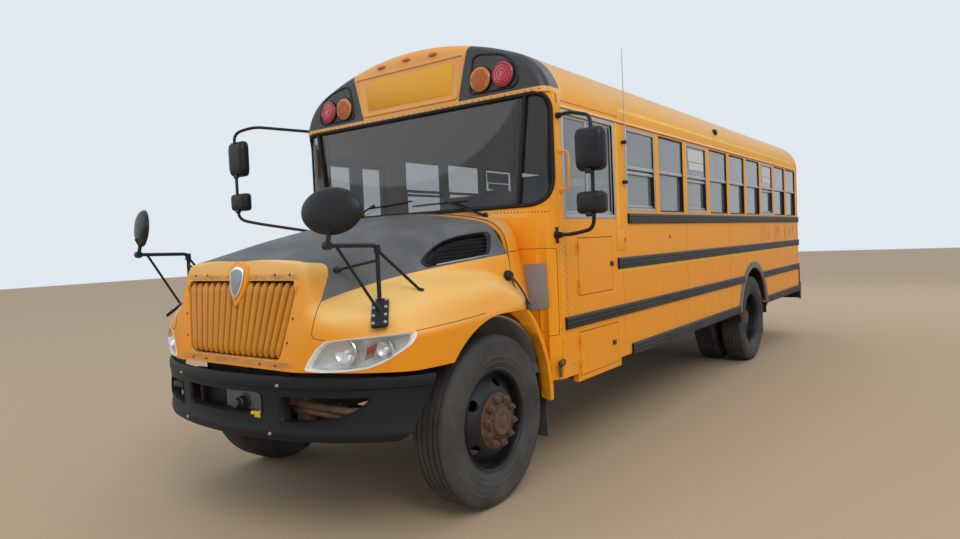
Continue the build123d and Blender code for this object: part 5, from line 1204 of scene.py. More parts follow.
# rub rails with grooves
railForm = {
    "shared": ((-4.535, 1.815, 1.716, 1.798), (-4.535, -2.344, 0.994, 1.079), (-4.535, -2.563, 0.652, 0.744),
               (-1.271, 1.815, 0.652, 0.744)),
    "left": ((-4.535, 2.030, 1.361, 1.449), (-1.490, 2.895, 0.994, 1.079)),
    "right": ((-4.535, 2.030, 1.361, 1.449), (-1.490, 2.030, 0.994, 1.079)),
    "profile": ((0.0, 0.0), (0.011, 0.005), (0.0150, 0.05), (0.0165, 0.10), (0.0165, 0.295), (0.0115, 0.315), (0.0115, 0.345),
                (0.0165, 0.365), (0.0165, 0.635), (0.0115, 0.655), (0.0115, 0.685), (0.0165, 0.705), (0.0165, 0.90),
                (0.0150, 0.95), (0.011, 0.995), (0.0, 1.0)),
}
wallLift = halfWidth + 0.0004
rails = Shape(railBlack)
for sign, side in ((1, "left"), (-1, "right")):
    for x0, x1, z0, z1 in railForm["shared"] + railForm[side]:
        ease = [math.sin(t) for t in (0, 0.5, 1.0, math.pi / 2)]
        ends = [(x0 + 0.009 * (1 - s), 0.93 + 0.07 * s, 0.55 + 0.45 * s) for s in ease]
        ends += [(x0 + x1 - x, tall, deep) for x, tall, deep in ends[::-1]]
        rails.solid([[(x, sign * (wallLift + out * deep), z0 + (z1 - z0) * (0.5 + (f - 0.5) * tall)) for out, f in railForm["profile"]]
                     for x, tall, deep in ends])
for sign in (1, -1):
    rails.sideBox(sign, (-4.56, -4.535), (wallLift, halfWidth + 0.012), (0.652, 1.079), 0.004, 0)
place("grooveRails", rails, "root", "black_plastic", ["rub_rails"], 35)

# reflective tapes, small doors and latches on the left side
roofTree = treeOf(nodes["roof"].data)


def sideHit(x, z, sign, lift=0.0):  # place and facing of the roof's side skin, or of the wall's plane below it
    hit, normal, face, distance = roofTree.ray_cast(Vector((x, sign * 2.0, z)), Vector((0, -sign, 0)))
    if hit is None:
        return Vector((x, sign * halfWidth, z)), Vector((0, sign, 0))
    return hit + Vector((0, sign * lift, 0)), (normal if normal.y * sign > 0 else -normal)


tapeForm = {"roof": ((2.598, -0.001), (2.599, 0.0012), (2.627, 0.0012), (2.628, -0.001)), "start": 1.93, "step": 0.61, "gap": 0.006,
            "wall": (((-4.50, 2.025), (1.336, 1.3595)), ((1.972, 1.997), (1.70, 2.505))), "y": (halfWidth - 0.0005, halfWidth + 0.0008)}
tapes = Shape(tape)
for sign in (1, -1):
    for k in range(10):
        a = tapeForm["start"] - k * tapeForm["step"]
        b = tapeForm["start"] - (k + 1) * tapeForm["step"]
        tapes.grid([[sideHit(x, z, sign, lift)[0] for z, lift in tapeForm["roof"]] for x in (b + tapeForm["gap"], a - tapeForm["gap"])])
    for xs, zs in tapeForm["wall"]:
        tapes.sideBox(sign, xs, tapeForm["y"], zs, 0, 0)
place("reflectiveTapes", tapes, "root", "yellow_paint")

fittingForm = {
    "latches": ((2.137, 1.411), (2.137, 0.802)), "reflectors": ((0.895, 1.60, 0.020), (-4.485, 1.206, 0.018)), "roofLamp": (-0.609, 2.70),
    "handle": ((2.880, 1.212, 1.944), (2.880, 1.270, 1.950), (2.880, 1.280, 1.975), (2.878, 1.280, 2.180), (2.878, 1.270, 2.205),
               (2.880, 1.212, 2.213)),
    "antenna": ((1.880, 1.247, 2.000), (1.880, 1.247, 2.55), (1.880, 1.244, 3.098)), "antennaFeet": (2.045, 2.360),
    "wallIn": 1.2185,  # just inside the wall's face, where fittings start
}
fittings, wallIn = Shape(yellow, darkMetal, rustyMetal, mirrorBlack, redLens, aluminium, seamShade), fittingForm["wallIn"]
for x, z in fittingForm["latches"]:
    fittings.box((x - 0.028, 1.2195, z - 0.018), (x + 0.028, 1.2265, z + 0.018), 0.004, 3)
    fittings.box((x - 0.012, 1.2265, z - 0.008), (x + 0.016, 1.2300, z + 0.008), 0.002, 1)
fittings.box((1.866, wallIn, 1.504), (2.039, 1.2225, 1.674), 0.003, 0)  # small door and its pull
fittings.box((1.876, 1.2225, 1.574), (1.888, 1.226, 1.604), 0.002, 1)
for x, z, r in fittingForm["reflectors"]:
    fittings.box((x - r, wallIn, z - 0.016), (x + r, 1.2275, z + 0.014), 0.004, 4)
    fittings.box((x - r - 0.012, wallIn, z - 0.010), (x - r, 1.224, z + 0.006), 0.002, 2)
roofLamp = [(-0.01, 0.036), (0.012, 0.036), (0.018, 0.030), (0.030, 0.028), (0.034, 0.018)]
fittings.lathe(roofLamp, sideHit(*fittingForm["roofLamp"], 1)[0], (0, 1, 0.25), 20, 3)
clasp = planeHit(561, 366, 1, 1.226)
fittings.box((clasp.x - 0.016, wallIn, clasp.z - 0.075), (clasp.x + 0.016, 1.2285, clasp.z + 0.01), 0.003, 2)
claspRing = [(clasp.x - 0.012 + 0.030 * math.cos(a), 1.236, clasp.z + 0.022 + 0.020 * math.sin(a)) for a in around(14, 2)]
fittings.tube(claspRing, 0.0065, 8, 2)
fittings.lathe([(0, 0.018), (0.02, 0.018), (0.024, 0.012)], (clasp.x + 0.008, halfWidth, clasp.z + 0.018), (0, 1, 0), 16, 2)
# grab handle and antenna, where the CAD has them
fittings.tube(rounded(fittingForm["handle"], 0.03, 5), 0.0085, 12, 0)
cornerLamp = [(-0.01, 0.030), (0.008, 0.029), (0.014, 0.022), (0.020, 0.020), (0.024, 0.010)]
for sign in (1, -1):
    fittings.lathe(cornerLamp, traced(roofTree, [(554.5, 84.5)], 0.0, sign)[0], (0, sign, 0.5), 18, 4)
for x, y, z in (fittingForm["handle"][0], fittingForm["handle"][-1]):
    fittings.lathe([(-0.002, 0.022), (0.006, 0.022), (0.009, 0.014)], (x, halfWidth, z), (0, 1, 0), 18, 0)
fittings.tube(fittingForm["antenna"], [0.0062, 0.0040, 0.0026], 10, 5)
antennaX = fittingForm["antenna"][0][0]
for z in fittingForm["antennaFeet"]:
    fittings.box((antennaX - 0.012, wallIn, z - 0.014), (antennaX + 0.012, 1.2585, z + 0.014), 0.004, 3)
    fittings.lathe([(0, 0.009), (0.016, 0.009)], (antennaX + 0.010, 1.240, z), (1, 0, 0), 8, 3)
place("sideFittings", fittings, "root", "yellow_paint", ["side_fittings"], 35)

# drip rail above the windows
dripForm = {"pixels": ((590, 113.3), (659, 133), (740, 154.5)), "x": (2.86, -4.50), "parts": 24,
            "profile": ((-0.004, -0.011), (0.004, -0.0105), (0.0085, -0.007), (0.0095, -0.001), (0.0075, 0.005), (0.003, 0.009),
                        (-0.004, 0.011)),
            "line": ((-0.002, -0.018), (0.0006, -0.018), (0.0006, -0.012), (-0.002, -0.012))}
dripZ = sum(planeHit(px, py, 1, 1.228).z for px, py in dripForm["pixels"]) / 3
drip, (startX, endX) = Shape(dripPale, seamShade), dripForm["x"]
for sign in (1, -1):
    rows = []
    for k in range(dripForm["parts"] + 1):
        x = startX + (endX - startX) * k / dripForm["parts"]
        end = 0.4 if k in (0, dripForm["parts"]) else 1.0
        skin = max([halfWidth] + [sideHit(x, dripZ + h, sign)[0].y * sign for h in (-0.011, 0.011)])
        rows.append([(x, sign * (skin + out * end), dripZ + h) for out, h in dripForm["profile"]])
    drip.solid(rows)
    drip.solid([[(x, sign * (halfWidth + out), dripZ + h) for out, h in dripForm["line"]] for x in dripForm["x"]], 1)
place("dripRails", drip, "root", "yellow_paint")

# dark wheel houses behind the rear arches
houseForm = {"z": 0.568, "y": (1.215, 1.12, 0.585), "thick": 0.004, "in": 0.006, "plain": 0.60}
for sign, sideName in ((1, "Left"), (-1, "Right")):
    house, rows, tree = Shape(chassis), [], treeOf(nodes[sideName.lower() + "_wall"].data)
    for k in range(49):
        a = math.radians(-4 + 188 * k / 48)
        way = Vector((math.cos(a), 0, math.sin(a)))
        hit, normal, side, distance = tree.ray_cast(Vector((rearAxleX, sign * 1.20, houseForm["z"])), way)
        reach = (distance if hit is not None and 0.5 < distance < 0.75 else houseForm["plain"]) - houseForm["in"]
        at = Vector((rearAxleX, 0, houseForm["z"])) + way * reach
        away = at + way * houseForm["thick"]
        rows.append([(at.x, sign * y, at.z) for y in houseForm["y"]] + [(away.x, sign * y, away.z) for y in houseForm["y"][::-1]])
    house.solid(rows)
    place("wheelHouse" + sideName, house, "root", "black_plastic")

# panel seams and rivets
rivetForm = {"posts": [1.9305] + [x - 0.0475 for x in windowForm["starts"][:-1]] + [-4.44], "step": 0.058, "low": 0.765,
             "seams": ((0.746, 0.992), (1.081, 1.335), (1.451, 1.714))}
seams = Shape(seamShade)
rivetSpots, roofRivets, darkRivets = [], [], []


def clearOf(x, z):  # rivets keep off rails and arches
    for x0, x1, z0, z1 in railForm["shared"] + railForm["left"]:
        if x0 - 0.02 < x < x1 + 0.02 and z0 - 0.012 < z < z1 + 0.012:
            return False
    return math.hypot(x - rearAxleX, z - 0.56) >= 0.70 and 0.66 < z < 2.53


def sideRivet(spots, x, z, sign=1):
    spots.append(((x, sign * halfWidth, z), (0, sign, 0)))


for sign in (1, -1):
    for post, x in enumerate(rivetForm["posts"]):
        if sign == -1 and x > 1.8:
            continue
        for k in range(40):
            z = rivetForm["low"] + k * rivetForm["step"]
            if z < 1.80 and clearOf(x, z):
                sideRivet(rivetSpots, x - 0.022 if z < 1.7 else x, z, sign)
            if 1.83 < z < 2.5 and k % 2 == 0:
                sideRivet(rivetSpots, x, z, sign)
        if post % 2 == 0:
            for zs in rivetForm["seams"]:
                if zs[0] > 1.0 or clearOf(x, 0.9):
                    seams.sideBox(sign, (x - 0.0012, x + 0.0012), (halfWidth - 0.001, wallLift), zs, 0, 0)
    for k in range(106):
        x = 1.86 - k * 0.060
        if x > -4.5:
            sideRivet(rivetSpots, x, 1.807, sign)
            if k % 2 == 0 and clearOf(x, 0.775):
                sideRivet(rivetSpots, x, 0.770, sign)
    if sign == 1:
        for k in range(15):
            for dx, dz in ((0.0, 0), (0.016, 0.02)):
                sideRivet(darkRivets, 2.842 + dx + 0.004 * (k % 2), 1.10 + k * 0.040 + dz)
    darkRivets += [sideHit(2.84 - k * 0.0195, dripZ + 0.036, sign) for k in range(46)]
    for x in rivetForm["posts"]:
        centre = Vector((x, sign * 0.55, 2.2))
        for k in range(13):
            a = math.radians(8 + k * 7.2)
            start = centre + Vector((0, sign * 1.6 * math.cos(a), 1.6 * math.sin(a)))
            hit, normal, side, distance = roofTree.ray_cast(start, (centre - start).normalized())
            if hit is not None:
                roofRivets.append((hit, normal if normal.z > 0 else -normal))
darkRivets += [(capPoint(-1.16 + k * 2.32 / 42, 2.618), (1, 0, 0)) for k in range(43)]
for x, z in ((2.80, 0.86), (2.80, 0.74), (2.745, 1.12)):
    sideRivet(darkRivets, x, z)
place("panelSeams", seams, "root", "yellow_paint")
scatter("sideRivets", rivetSpots, domeStud(0.0062, 0.0026), rivetYellow, "root", 0.08, "yellow_paint")
scatter("roofRivets", roofRivets, domeStud(0.0062, 0.0026, 6), yellow, "root", 0.08, "yellow_paint")
scatter("darkRivets", darkRivets, domeStud(0.0055, 0.0026), rivetDark, "root", 0.12, "yellow_paint")
print("rails, tapes, rivets ready:", len(rivetSpots) + len(roofRivets) + len(darkRivets))

# glass faces of the doors
for name, axis, low, high, material in (
        ("entry_leaf_front", 1, -1.2030, -1.1950, glassClear), ("entry_leaf_rear", 1, -1.2030, -1.1950, glassClear),
        ("emergency_door", 0, -4.6610, -4.6240, glass)):
    mesh = nodes[name].data
    mesh.materials.append(material)
    for polygon in mesh.polygons:
        if all(low <= mesh.vertices[v].co[axis] <= high for v in polygon.vertices) and abs(polygon.normal[axis]) > 0.9:
            polygon.material_index = 1


# wheels and tyres
wheelForm = {
    "frontY": 0.9955, "outerY": 1.0695, "innerY": 0.7345,
    "rimWall": ((0.098, 0.292), (0.1075, 0.300), (0.1115, 0.3065), (0.1045, 0.3095), (0.100, 0.303), (0.060, 0.293), (0.0, 0.289),
                (-0.095, 0.296), (-0.1075, 0.307), (-0.100, 0.300)),
    "sidewall": ((0.068, 0.294), (0.078, 0.2955), (0.094, 0.300), (0.103, 0.309), (0.1065, 0.318), (0.1045, 0.322), (0.1085, 0.327),
                 (0.1225, 0.352), (0.1245, 0.3545), (0.1235, 0.358), (0.1300, 0.383), (0.1325, 0.386), (0.1315, 0.3895),
                 (0.1350, 0.415), (0.1358, 0.435), (0.1340, 0.4385), (0.1352, 0.4425), (0.1330, 0.463), (0.1295, 0.4665),
                 (0.1290, 0.471), (0.1235, 0.489), (0.1215, 0.4935), (0.1190, 0.500), (0.1120, 0.512), (0.1030, 0.5195),
                 (0.0930, 0.5235)),
    "grooves": (0.078, 0.040, 0.0, -0.040, -0.078), "grooveDepth": 0.012, "grooveHalf": 0.0042, "crown": 0.525,
    "sipes": 60, "sipeRadius": 0.5228, "sipeLanes": ((0.1, 0.0), (0.058, 0.02)), "sipe": (0.0035, 0.016),
    "holes": 5, "holeRadius": 0.228, "hole": (0.024, 0.036), "nutCircle": 0.1385, "nut": (0.0235, 0.031),
}
frontDisc = [(0.1165, 0.04), (0.1165, 0.176), (0.113, 0.190), (0.100, 0.206), (0.076, 0.232), (0.052, 0.258), (0.042, 0.276),
             (0.042, 0.2865), (0.075, 0.2885), *wheelForm["rimWall"], (0.0, 0.283), (0.030, 0.281), (0.032, 0.270), (0.042, 0.254),
             (0.066, 0.226), (0.090, 0.200), (0.1035, 0.186), (0.1055, 0.17), (0.1055, 0.04)]
rearDisc = [(-0.1165, 0.05), (-0.1165, 0.170), (-0.112, 0.186), (-0.098, 0.204), (-0.050, 0.236), (-0.020, 0.262), (-0.004, 0.276),
            (0.0, 0.285), (0.060, 0.2885), *wheelForm["rimWall"], (-0.02, 0.283), (-0.03, 0.270), (-0.062, 0.240), (-0.108, 0.208),
            (-0.123, 0.190), (-0.1265, 0.172), (-0.1265, 0.05)]
frontHub = [(0.112, 0.172), (0.1175, 0.170), (0.1185, 0.150), (0.1185, 0.118), (0.120, 0.112), (0.128, 0.106), (0.138, 0.104),
            (0.142, 0.099), (0.142, 0.091), (0.148, 0.088), (0.160, 0.085), (0.166, 0.079), (0.1675, 0.058), (0.164, 0.052),
            (0.164, 0.036), (0.170, 0.031), (0.1735, 0.022), (0.1745, 0.0)]
rearHub = [(-0.118, 0.112), (-0.060, 0.104), (-0.020, 0.100), (0.030, 0.096), (0.048, 0.088), (0.050, 0.070), (0.056, 0.052),
           (0.057, 0.0)]


def tyreRows():
    side, top = list(wheelForm["sidewall"]), []
    half, deep = wheelForm["grooveHalf"], wheelForm["grooveDepth"]
    for g in wheelForm["grooves"]:
        crown = wheelForm["crown"] - 0.0016 * (abs(g) / 0.09) ** 2
        edge = [(half + 0.0015, crown), (half, crown - 0.002), (half * 0.7, crown - deep)]
        top += [(g + a, r) for a, r in edge] + [(g - a, r) for a, r in edge[::-1]]
    return side + top + [(-a, r) for a, r in side[::-1]] + [(-0.06, 0.312), (0.0, 0.310), (0.06, 0.312)]


def addTyre(shape, x, y, sign, sipes):
    one = Shape()
    one.lathe(tyreRows(), (0, 0, 0), (0, 1, 0), 120, 0, True)
    halfU, halfV = wheelForm["sipe"]
    for a in around(wheelForm["sipes"]) if sipes else []:
        along = Vector((-math.sin(a), 0, math.cos(a)))
        for side in (1, -1):
            for lane, turn in wheelForm["sipeLanes"]:
                base = Vector((math.cos(a + turn), 0, math.sin(a + turn))) * wheelForm["sipeRadius"]
                ring = [base + along * u + Vector((0, side * lane + v, 0))
                        for u, v in ((-halfU, -halfV), (halfU, -halfV), (halfU, halfV), (-halfU, halfV))]
                # thin near-black slivers on the tread: painted shade of the sipe slits
                one.solid([ring, [p * 1.0012 for p in ring]], 1)
    for v in one.bm.verts:
        v.co = Vector((v.co.x + x, (v.co.y + y) * sign, v.co.z + hubZ))
    helper = one.mesh("tyreHelper")
    shape.bm.from_mesh(helper)
    bpy.data.meshes.remove(helper)


def nutRing(name, body, sign, x, y, count, circle, turn, size, variation):  # size: a nut's radius and height
    spots = [((x + circle * math.cos(a + turn), sign * y, hubZ + circle * math.sin(a + turn)), (0, sign, 0)) for a in around(count)]
    scatter(name, spots, hexNut(*size), nutRust, body, variation, "wheel_paint")


def holedDisc(name, profile, x, steps, holeY):  # a turned disc with its hand holes cut, set at an axle
    disc, cutter = Shape(wheelBlack), Shape()
    disc.lathe(profile, (0, 0, 0), (0, 1, 0), steps, 0, True)
    tall, wide = wheelForm["hole"]
    for k in range(wheelForm["holes"]):
        a = 2 * math.pi * (k + 0.46) / wheelForm["holes"]
        out, along = Vector((math.cos(a), 0, math.sin(a))), Vector((-math.sin(a), 0, math.cos(a)))
        cutter.solid([[out * (wheelForm["holeRadius"] + tall * math.cos(t)) + along * wide * math.sin(t) + Vector((0, holeY + push, 0))
                       for t in around(24)] for push in (-0.14, 0.14)])
    mesh = repaint(cutMesh(disc.mesh(name), [cutter]), wheelBlack)
    for v in mesh.vertices:
        v.co = v.co + Vector((x, 0, hubZ))
    return mesh


for sign, label in ((1, "left"), (-1, "right")):
    y, outerY, body = wheelForm["frontY"], wheelForm["outerY"], "front_" + label
    tyre = Shape(rubber, paintedShadeBlack)
    addTyre(tyre, axleX, y, sign, False)
    place("frontTyre_" + label, tyre, body, "tyre", ["tyre_front_" + label], 28)
    disc = holedDisc("frontDisc_" + label, [((a + y) * sign, r) for a, r in frontDisc], axleX, 96, (y + 0.06) * sign)
    place("frontDisc_" + label, disc, body, "wheel_paint", ["wheel_front_" + label])
    hub, at, away = Shape(hubRust, paintedShadeBlack), (axleX, sign * y, hubZ), (0, sign, 0)
    # near-black ring inside the wheel: painted shade behind the hub
    hub.lathe([(-0.085, 0.070), (-0.085, 0.198), (0.018, 0.198), (0.018, 0.070)], at, away, 48, 1, True)
    hub.lathe(frontHub, at, away, 56, 0)
    hub.lathe([(-0.075, 0.130), (0.105, 0.130)], at, away, 40, 0)
    place("frontHub_" + label, hub, body, "wheel_paint", (), 30)
    nutRing("frontNuts_" + label, body, sign, axleX, y + 0.123, 10, wheelForm["nutCircle"], 0.16, wheelForm["nut"], 0.03)
    nutRing("hubBolts_" + label, body, sign, axleX, y + 0.142, 6, 0.094, 0.3, (0.0085, 0.007), 0.05)

    body, pair = "rear_" + label, Shape(rubber, paintedShadeBlack)
    for dualY in (outerY, wheelForm["innerY"]):
        addTyre(pair, rearAxleX, dualY, sign, True)
    place("rearTyres_" + label, pair, body, "tyre", ["tyres_rear_" + label], 28)
    for index, (dualY, flip, instead) in enumerate(((outerY, 1, ["wheels_rear_" + label]), (wheelForm["innerY"], -1, ()))):
        name = "rearDisc_%s%d" % (label, index)
        disc = holedDisc(name, [(sign * (dualY + flip * a), r) for a, r in rearDisc], rearAxleX, 80, dualY * sign)
        place(name, disc, body, "wheel_paint", instead)
    hub = Shape(hubRust)
    hub.lathe([(-0.105, 0.145), (0.045, 0.145)], (rearAxleX, sign * (outerY - 0.1675), hubZ), away, 40, 0)
    hub.lathe(rearHub, (rearAxleX, sign * outerY, hubZ), away, 48, 0)
    place("rearHub_" + label, hub, body, "wheel_paint", (), 30)
    nutRing("rearNuts_" + label, body, sign, rearAxleX, outerY - 0.114, 10, wheelForm["nutCircle"], 0.1, wheelForm["nut"], 0.03)
    nutRing("axleBolts_" + label, body, sign, rearAxleX, outerY + 0.046, 8, 0.076, 0.2, (0.0085, 0.008), 0.05)
print("wheels ready")


# cowl: the wall kept from the CAD, the collar behind the hood made smooth
cowlForm = {
    "cut": ((3.0275, -1.30, 0.30), (3.60, 1.30, 2.10)), "wallX": 3.026, "edgeX": axleX - 0.265, "seamZ": 1.549,
    "cover": ((0.70, 1.02), (1.088, 0.985), (1.088, 1.770), (0.70, 1.790)), "middle": (0, 0.45, 1.25),
    "wall": ((0.0, 1.806), (0.35, 1.803), (0.667, 1.792), (0.760, 1.782), (0.829, 1.773), (0.880, 1.738), (0.914, 1.690),
             (0.933, 1.645), (0.942, 1.597), (0.946, 1.560), (0.962, 1.490), (0.987, 1.394), (0.998, 1.300), (1.006, 1.215),
             (1.010, 1.160)),
    "edge": ((0.0, 1.838), (0.35, 1.832), (0.620, 1.812), (0.780, 1.790), (0.935, 1.752), (0.990, 1.715), (1.030, 1.672),
             (1.050, 1.620), (1.060, 1.575), (1.063, 1.535), (1.068, 1.480), (1.076, 1.400), (1.105, 1.320), (1.150, 1.262),
             (1.180, 1.215)),
    "steps": ((3.326, 0.0, -0.030), (3.326, 0.0, -0.009), (3.320, 0.0, -0.003), (3.308, 0.02, -0.0005), (3.230, 0.22, 0.0),
              (3.150, 0.46, 0.002), (3.085, 0.70, 0.001), (3.045, 0.90, -0.003), (3.038, 0.985, -0.010), (3.022, 1.0, -0.024)),
    "tail": (((-0.180, 1.213), (-0.273, 1.196), (-0.350, 1.135), (-0.418, 1.055), (-0.490, 0.930), (-0.546, 0.803),
              (-0.570, 0.675), (-0.579, 0.546)),
             ((-0.090, 1.170), (-0.196, 1.169), (-0.300, 1.110), (-0.372, 1.040), (-0.456, 0.967), (-0.520, 0.820),
              (-0.548, 0.700), (-0.570, 0.546))),
    "tailOuter": ((-0.020, 1.060, 0.012), (-0.014, 1.150, 0.008), (-0.004, 1.1740, 0.003), (0.006, 1.1790, -0.003),
                  (0.016, 1.1770, -0.008), (0.024, 1.1700, -0.013)),
    "tailInner": ((0.002, 1.104, -0.002), (-0.006, 1.090, 0), (-0.016, 1.085, 0.006), (-0.030, 1.06, 0.012)),
    "liner": ((0, 1.086, 0), (-0.004, 1.03, 0.004), (-0.006, 0.70, 0.006), (-0.012, 0.70, 0.010), (-0.012, 1.086, 0.008)),
    "linerRadius": 0.612, "linerZ": 0.545, "linerLeast": 3.036,
}
cowlCut = Shape()
cowlCut.box(*cowlForm["cut"], 0)
cowlMesh = cutMesh(nodes["cowl"].data.copy(), [cowlCut])
place("cowlWall", repaint(cowlMesh, hoodYellow), "root", "yellow_paint", ["cowl"])
cover = Shape(hoodYellow)
for sign in (1, -1):
    cover.slab([(3.0265, sign * y, z) for y, z in cowlForm["cover"]], (0.0035, 0, 0))
coverMesh = cover.mesh("cowlCover")
coverTree, cowlTree = treeOf(coverMesh), treeOf(cowlMesh)
place("cowlCover", coverMesh, "root", "yellow_paint")
collar, middle = Shape(hoodYellow, capBlack, seamShade), Vector(cowlForm["middle"])
wallLine, edgeLine = [evenRow(rounded([(0, y, z) for y, z in cowlForm[key]], 0.05, 3), 61) for key in ("wall", "edge")]
for sign in (1, -1):
    rows = []
    for x, share, push in cowlForm["steps"]:
        row = [a.lerp(b, share) for a, b in zip(edgeLine, wallLine)]
        row = [p + (Vector((0, 0, 1)) if p.y < middle.y else (p - middle).normalized()) * push for p in row]
        rows.append([Vector((x, sign * p.y, p.z)) for p in row])
    collar.grid(rows)
    low = [row[-1] for row in rows[1:]]
    collar.grid([low, [p + Vector((0, -sign * 0.16, 0.0)) for p in low]])
    seamAt = []  # seam between the black-topped collar and the lower strip
    for row in rows[3:9]:
        a, b = next((a, b) for a, b in zip(row, row[1:]) if a.z >= cowlForm["seamZ"] > b.z and abs(a.y) > 0.8)
        seamAt.append(a.lerp(b, (a.z - cowlForm["seamZ"]) / (a.z - b.z)) + Vector((0, sign * 0.0004, 0.0)))
    collar.tube([Vector((cowlForm["edgeX"] - 0.0035, sign * p.y, p.z)) for p in edgeLine[6:]], 0.0034, 6, 2)
    collar.tube(seamAt, 0.0028, 6, 2)
place("cowlCollar", collar, "root", "yellow_paint")
tailShape = Shape(hoodYellow, linerGrey, paintedShadeBlack)
outer, inner = [evenRow([Vector((axleX + x, 0, z)) for x, z in line], 41) for line in cowlForm["tail"]]
for sign in (1, -1):
    tailShape.solid([[(a.x + x, sign * y, a.z + z) for x, y, z in cowlForm["tailOuter"]]
                     + [(b.x + x, sign * y, b.z + z) for x, y, z in cowlForm["tailInner"]] for a, b in zip(outer, inner)])
    rows = []
    for k in range(41):
        a = math.radians(164 - 77 * k / 40)
        x0 = max(axleX + cowlForm["linerRadius"] * math.cos(a), cowlForm["linerLeast"])
        z0 = cowlForm["linerZ"] + cowlForm["linerRadius"] * math.sin(a)
        rows.append([(x0 + x, sign * y, z0 + z) for x, y, z in cowlForm["liner"]])
    tailShape.solid(rows, 1)
place("fenderTail", tailShape, "root", "yellow_paint", (), 45)


def wallSpot(px, py, lift=0.0):  # a photo pixel's place on the cowl's wall
    way = photoRay(px, py)
    hit, normal, face, distance = coverTree.ray_cast(eye, way)
    if hit is None:
        hit, normal, face, distance = cowlTree.ray_cast(eye, way)
    if hit is None:
        hit, normal = planeHit(px, py, 0, cowlForm["wallX"]), Vector((1, 0, 0))
    if normal.dot(way) > 0:
        normal = -normal
    return hit + normal * lift, normal


patchForm = {
    "corners": ((523.6, 264.5), (545.6, 263.2), (549.6, 307.6), (531.0, 311.0)), "x": 3.0338,
    "joint": ((519.0, 249.2), (538, 248.6), (556.6, 248.3), (557.4, 270), (558.6, 300), (559.6, 334.6), (553, 335.6), (547.2, 336.4)),
    "mark": ((568.5, 344.5), (570.8, 343.2), (572.5, 346), (571.8, 350), (569.8, 352), (568.2, 349)),
    "rivets": ((563.5, 343.5), (544.0, 331.5), (562, 329)),
}
patches = Shape(greyPatch, seamShade, orangeMark)
topLeft, topRight, lowRight, lowLeft = (Vector((*pixel, 0)) for pixel in patchForm["corners"])
for sign in (1, -1):
    rows = []
    for i in range(9):
        a, b = topLeft.lerp(lowLeft, i / 8), topRight.lerp(lowRight, i / 8)
        rows.append([sided(planeHit(*a.lerp(b, j / 8).xy, 0, patchForm["x"]), sign) for j in range(9)])
    patches.grid(rows)
    patches.tube([sided(wallSpot(px, py, 0.0002)[0], sign) for px, py in between(patchForm["joint"], 8)], 0.0022, 6, 1)
spots = [wallSpot(px, py, 0.0012)[0] for px, py in patchForm["mark"]]
patches.slab([Vector((p.x, wallLift, p.z)) for p in spots], (0, 0.0006, 0), 0, 2)
place("cowlPatches", patches, "root", "yellow_paint")
rivetPixels = [(484 + 3.4 * k, 213.6 - 0.12 * k) for k in range(20)] + list(patchForm["rivets"])
cowlRivets = [[sided(v, sign) for v in wallSpot(px, py)] for sign in (1, -1) for px, py in rivetPixels]
scatter("cowlRivets", cowlRivets, domeStud(0.0052, 0.003), rivetDark, "root", 0.15, "yellow_paint")

# rubber hold-down latches between hood and cowl
latch = Shape(mirrorBlack, darkMetal)
for sign in (1, -1):
    a, way = (sided(v, sign) for v in onto(hoodTree, 507.6, 275.6))
    b = traced(hoodTree, [(525.4, 303.5)], 0.0, sign)[0] + Vector((-0.012, sign * 0.012, 0.006))
    latch.lathe([(-0.004, 0.034), (0.008, 0.034), (0.014, 0.028), (0.022, 0.024), (0.030, 0.026), (0.036, 0.018)], a, way, 22, 0)
    start, bow = a + way * 0.022, Vector((0, sign * 0.016, 0))
    latch.tube([start, start.lerp(b, 0.3) + bow, start.lerp(b, 0.7) + bow, b], [0.015, 0.011, 0.010, 0.012], 10, 0, 0.6)
    latch.tube([b + Vector((0.022, sign * 0.004, 0.012)), b, b + Vector((-0.024, sign * 0.002, -0.014))], 0.010, 8, 0)
    latch.box((b.x - 0.018, b.y - 0.012, b.z - 0.045), (b.x + 0.012, b.y + 0.012, b.z - 0.006), 0.003, 1)
place("hoodLatches", latch, "hood", "black_plastic")
print("cowl ready")

# crossover mirrors: bolted plate, post, braces, arm and a turned pod
postX, postY, armZ = 0.757, 0.914, 1.632
crossForm = {"plate": (0.805, 0.963, 1.264), "along": (108, 95, -144), "normal": (0.513, 0.304, 0.803), "size": (0.214, 0.090, 0.016),
             "boltAlong": (-0.088, -0.03, 0.03, 0.088), "boltAcross": (-0.032, 0.032),
             "post": ((postX, postY, 1.290), (postX, postY, 1.622)), "collar": (postX, postY, 1.602),
             "arm": ((postX, postY, 1.585), (postX, postY, 1.612), (0.78, postY, 1.624), (1.105, postY, armZ)),
             "armEnd": (1.100, postY, armZ), "neck": (1.085, postY, 1.690),
             "feet": ((0.805, 0.642, 1.498), (0.514, 0.996, 1.362)), "brace": ((1.045, postY, armZ), (0.815, 0.955, 1.290)),
             "pod": (1.062, postY, 1.803), "half": (0.172, 0.120), "turn": math.radians(18),
             "back": ((-0.042, 0.02), (-0.0415, 0.22), (-0.039, 0.45), (-0.033, 0.68), (-0.023, 0.86), (-0.010, 0.965), (-0.002, 1.0),
                      (0.006, 1.0), (0.009, 0.985), (0.009, 0.955))}
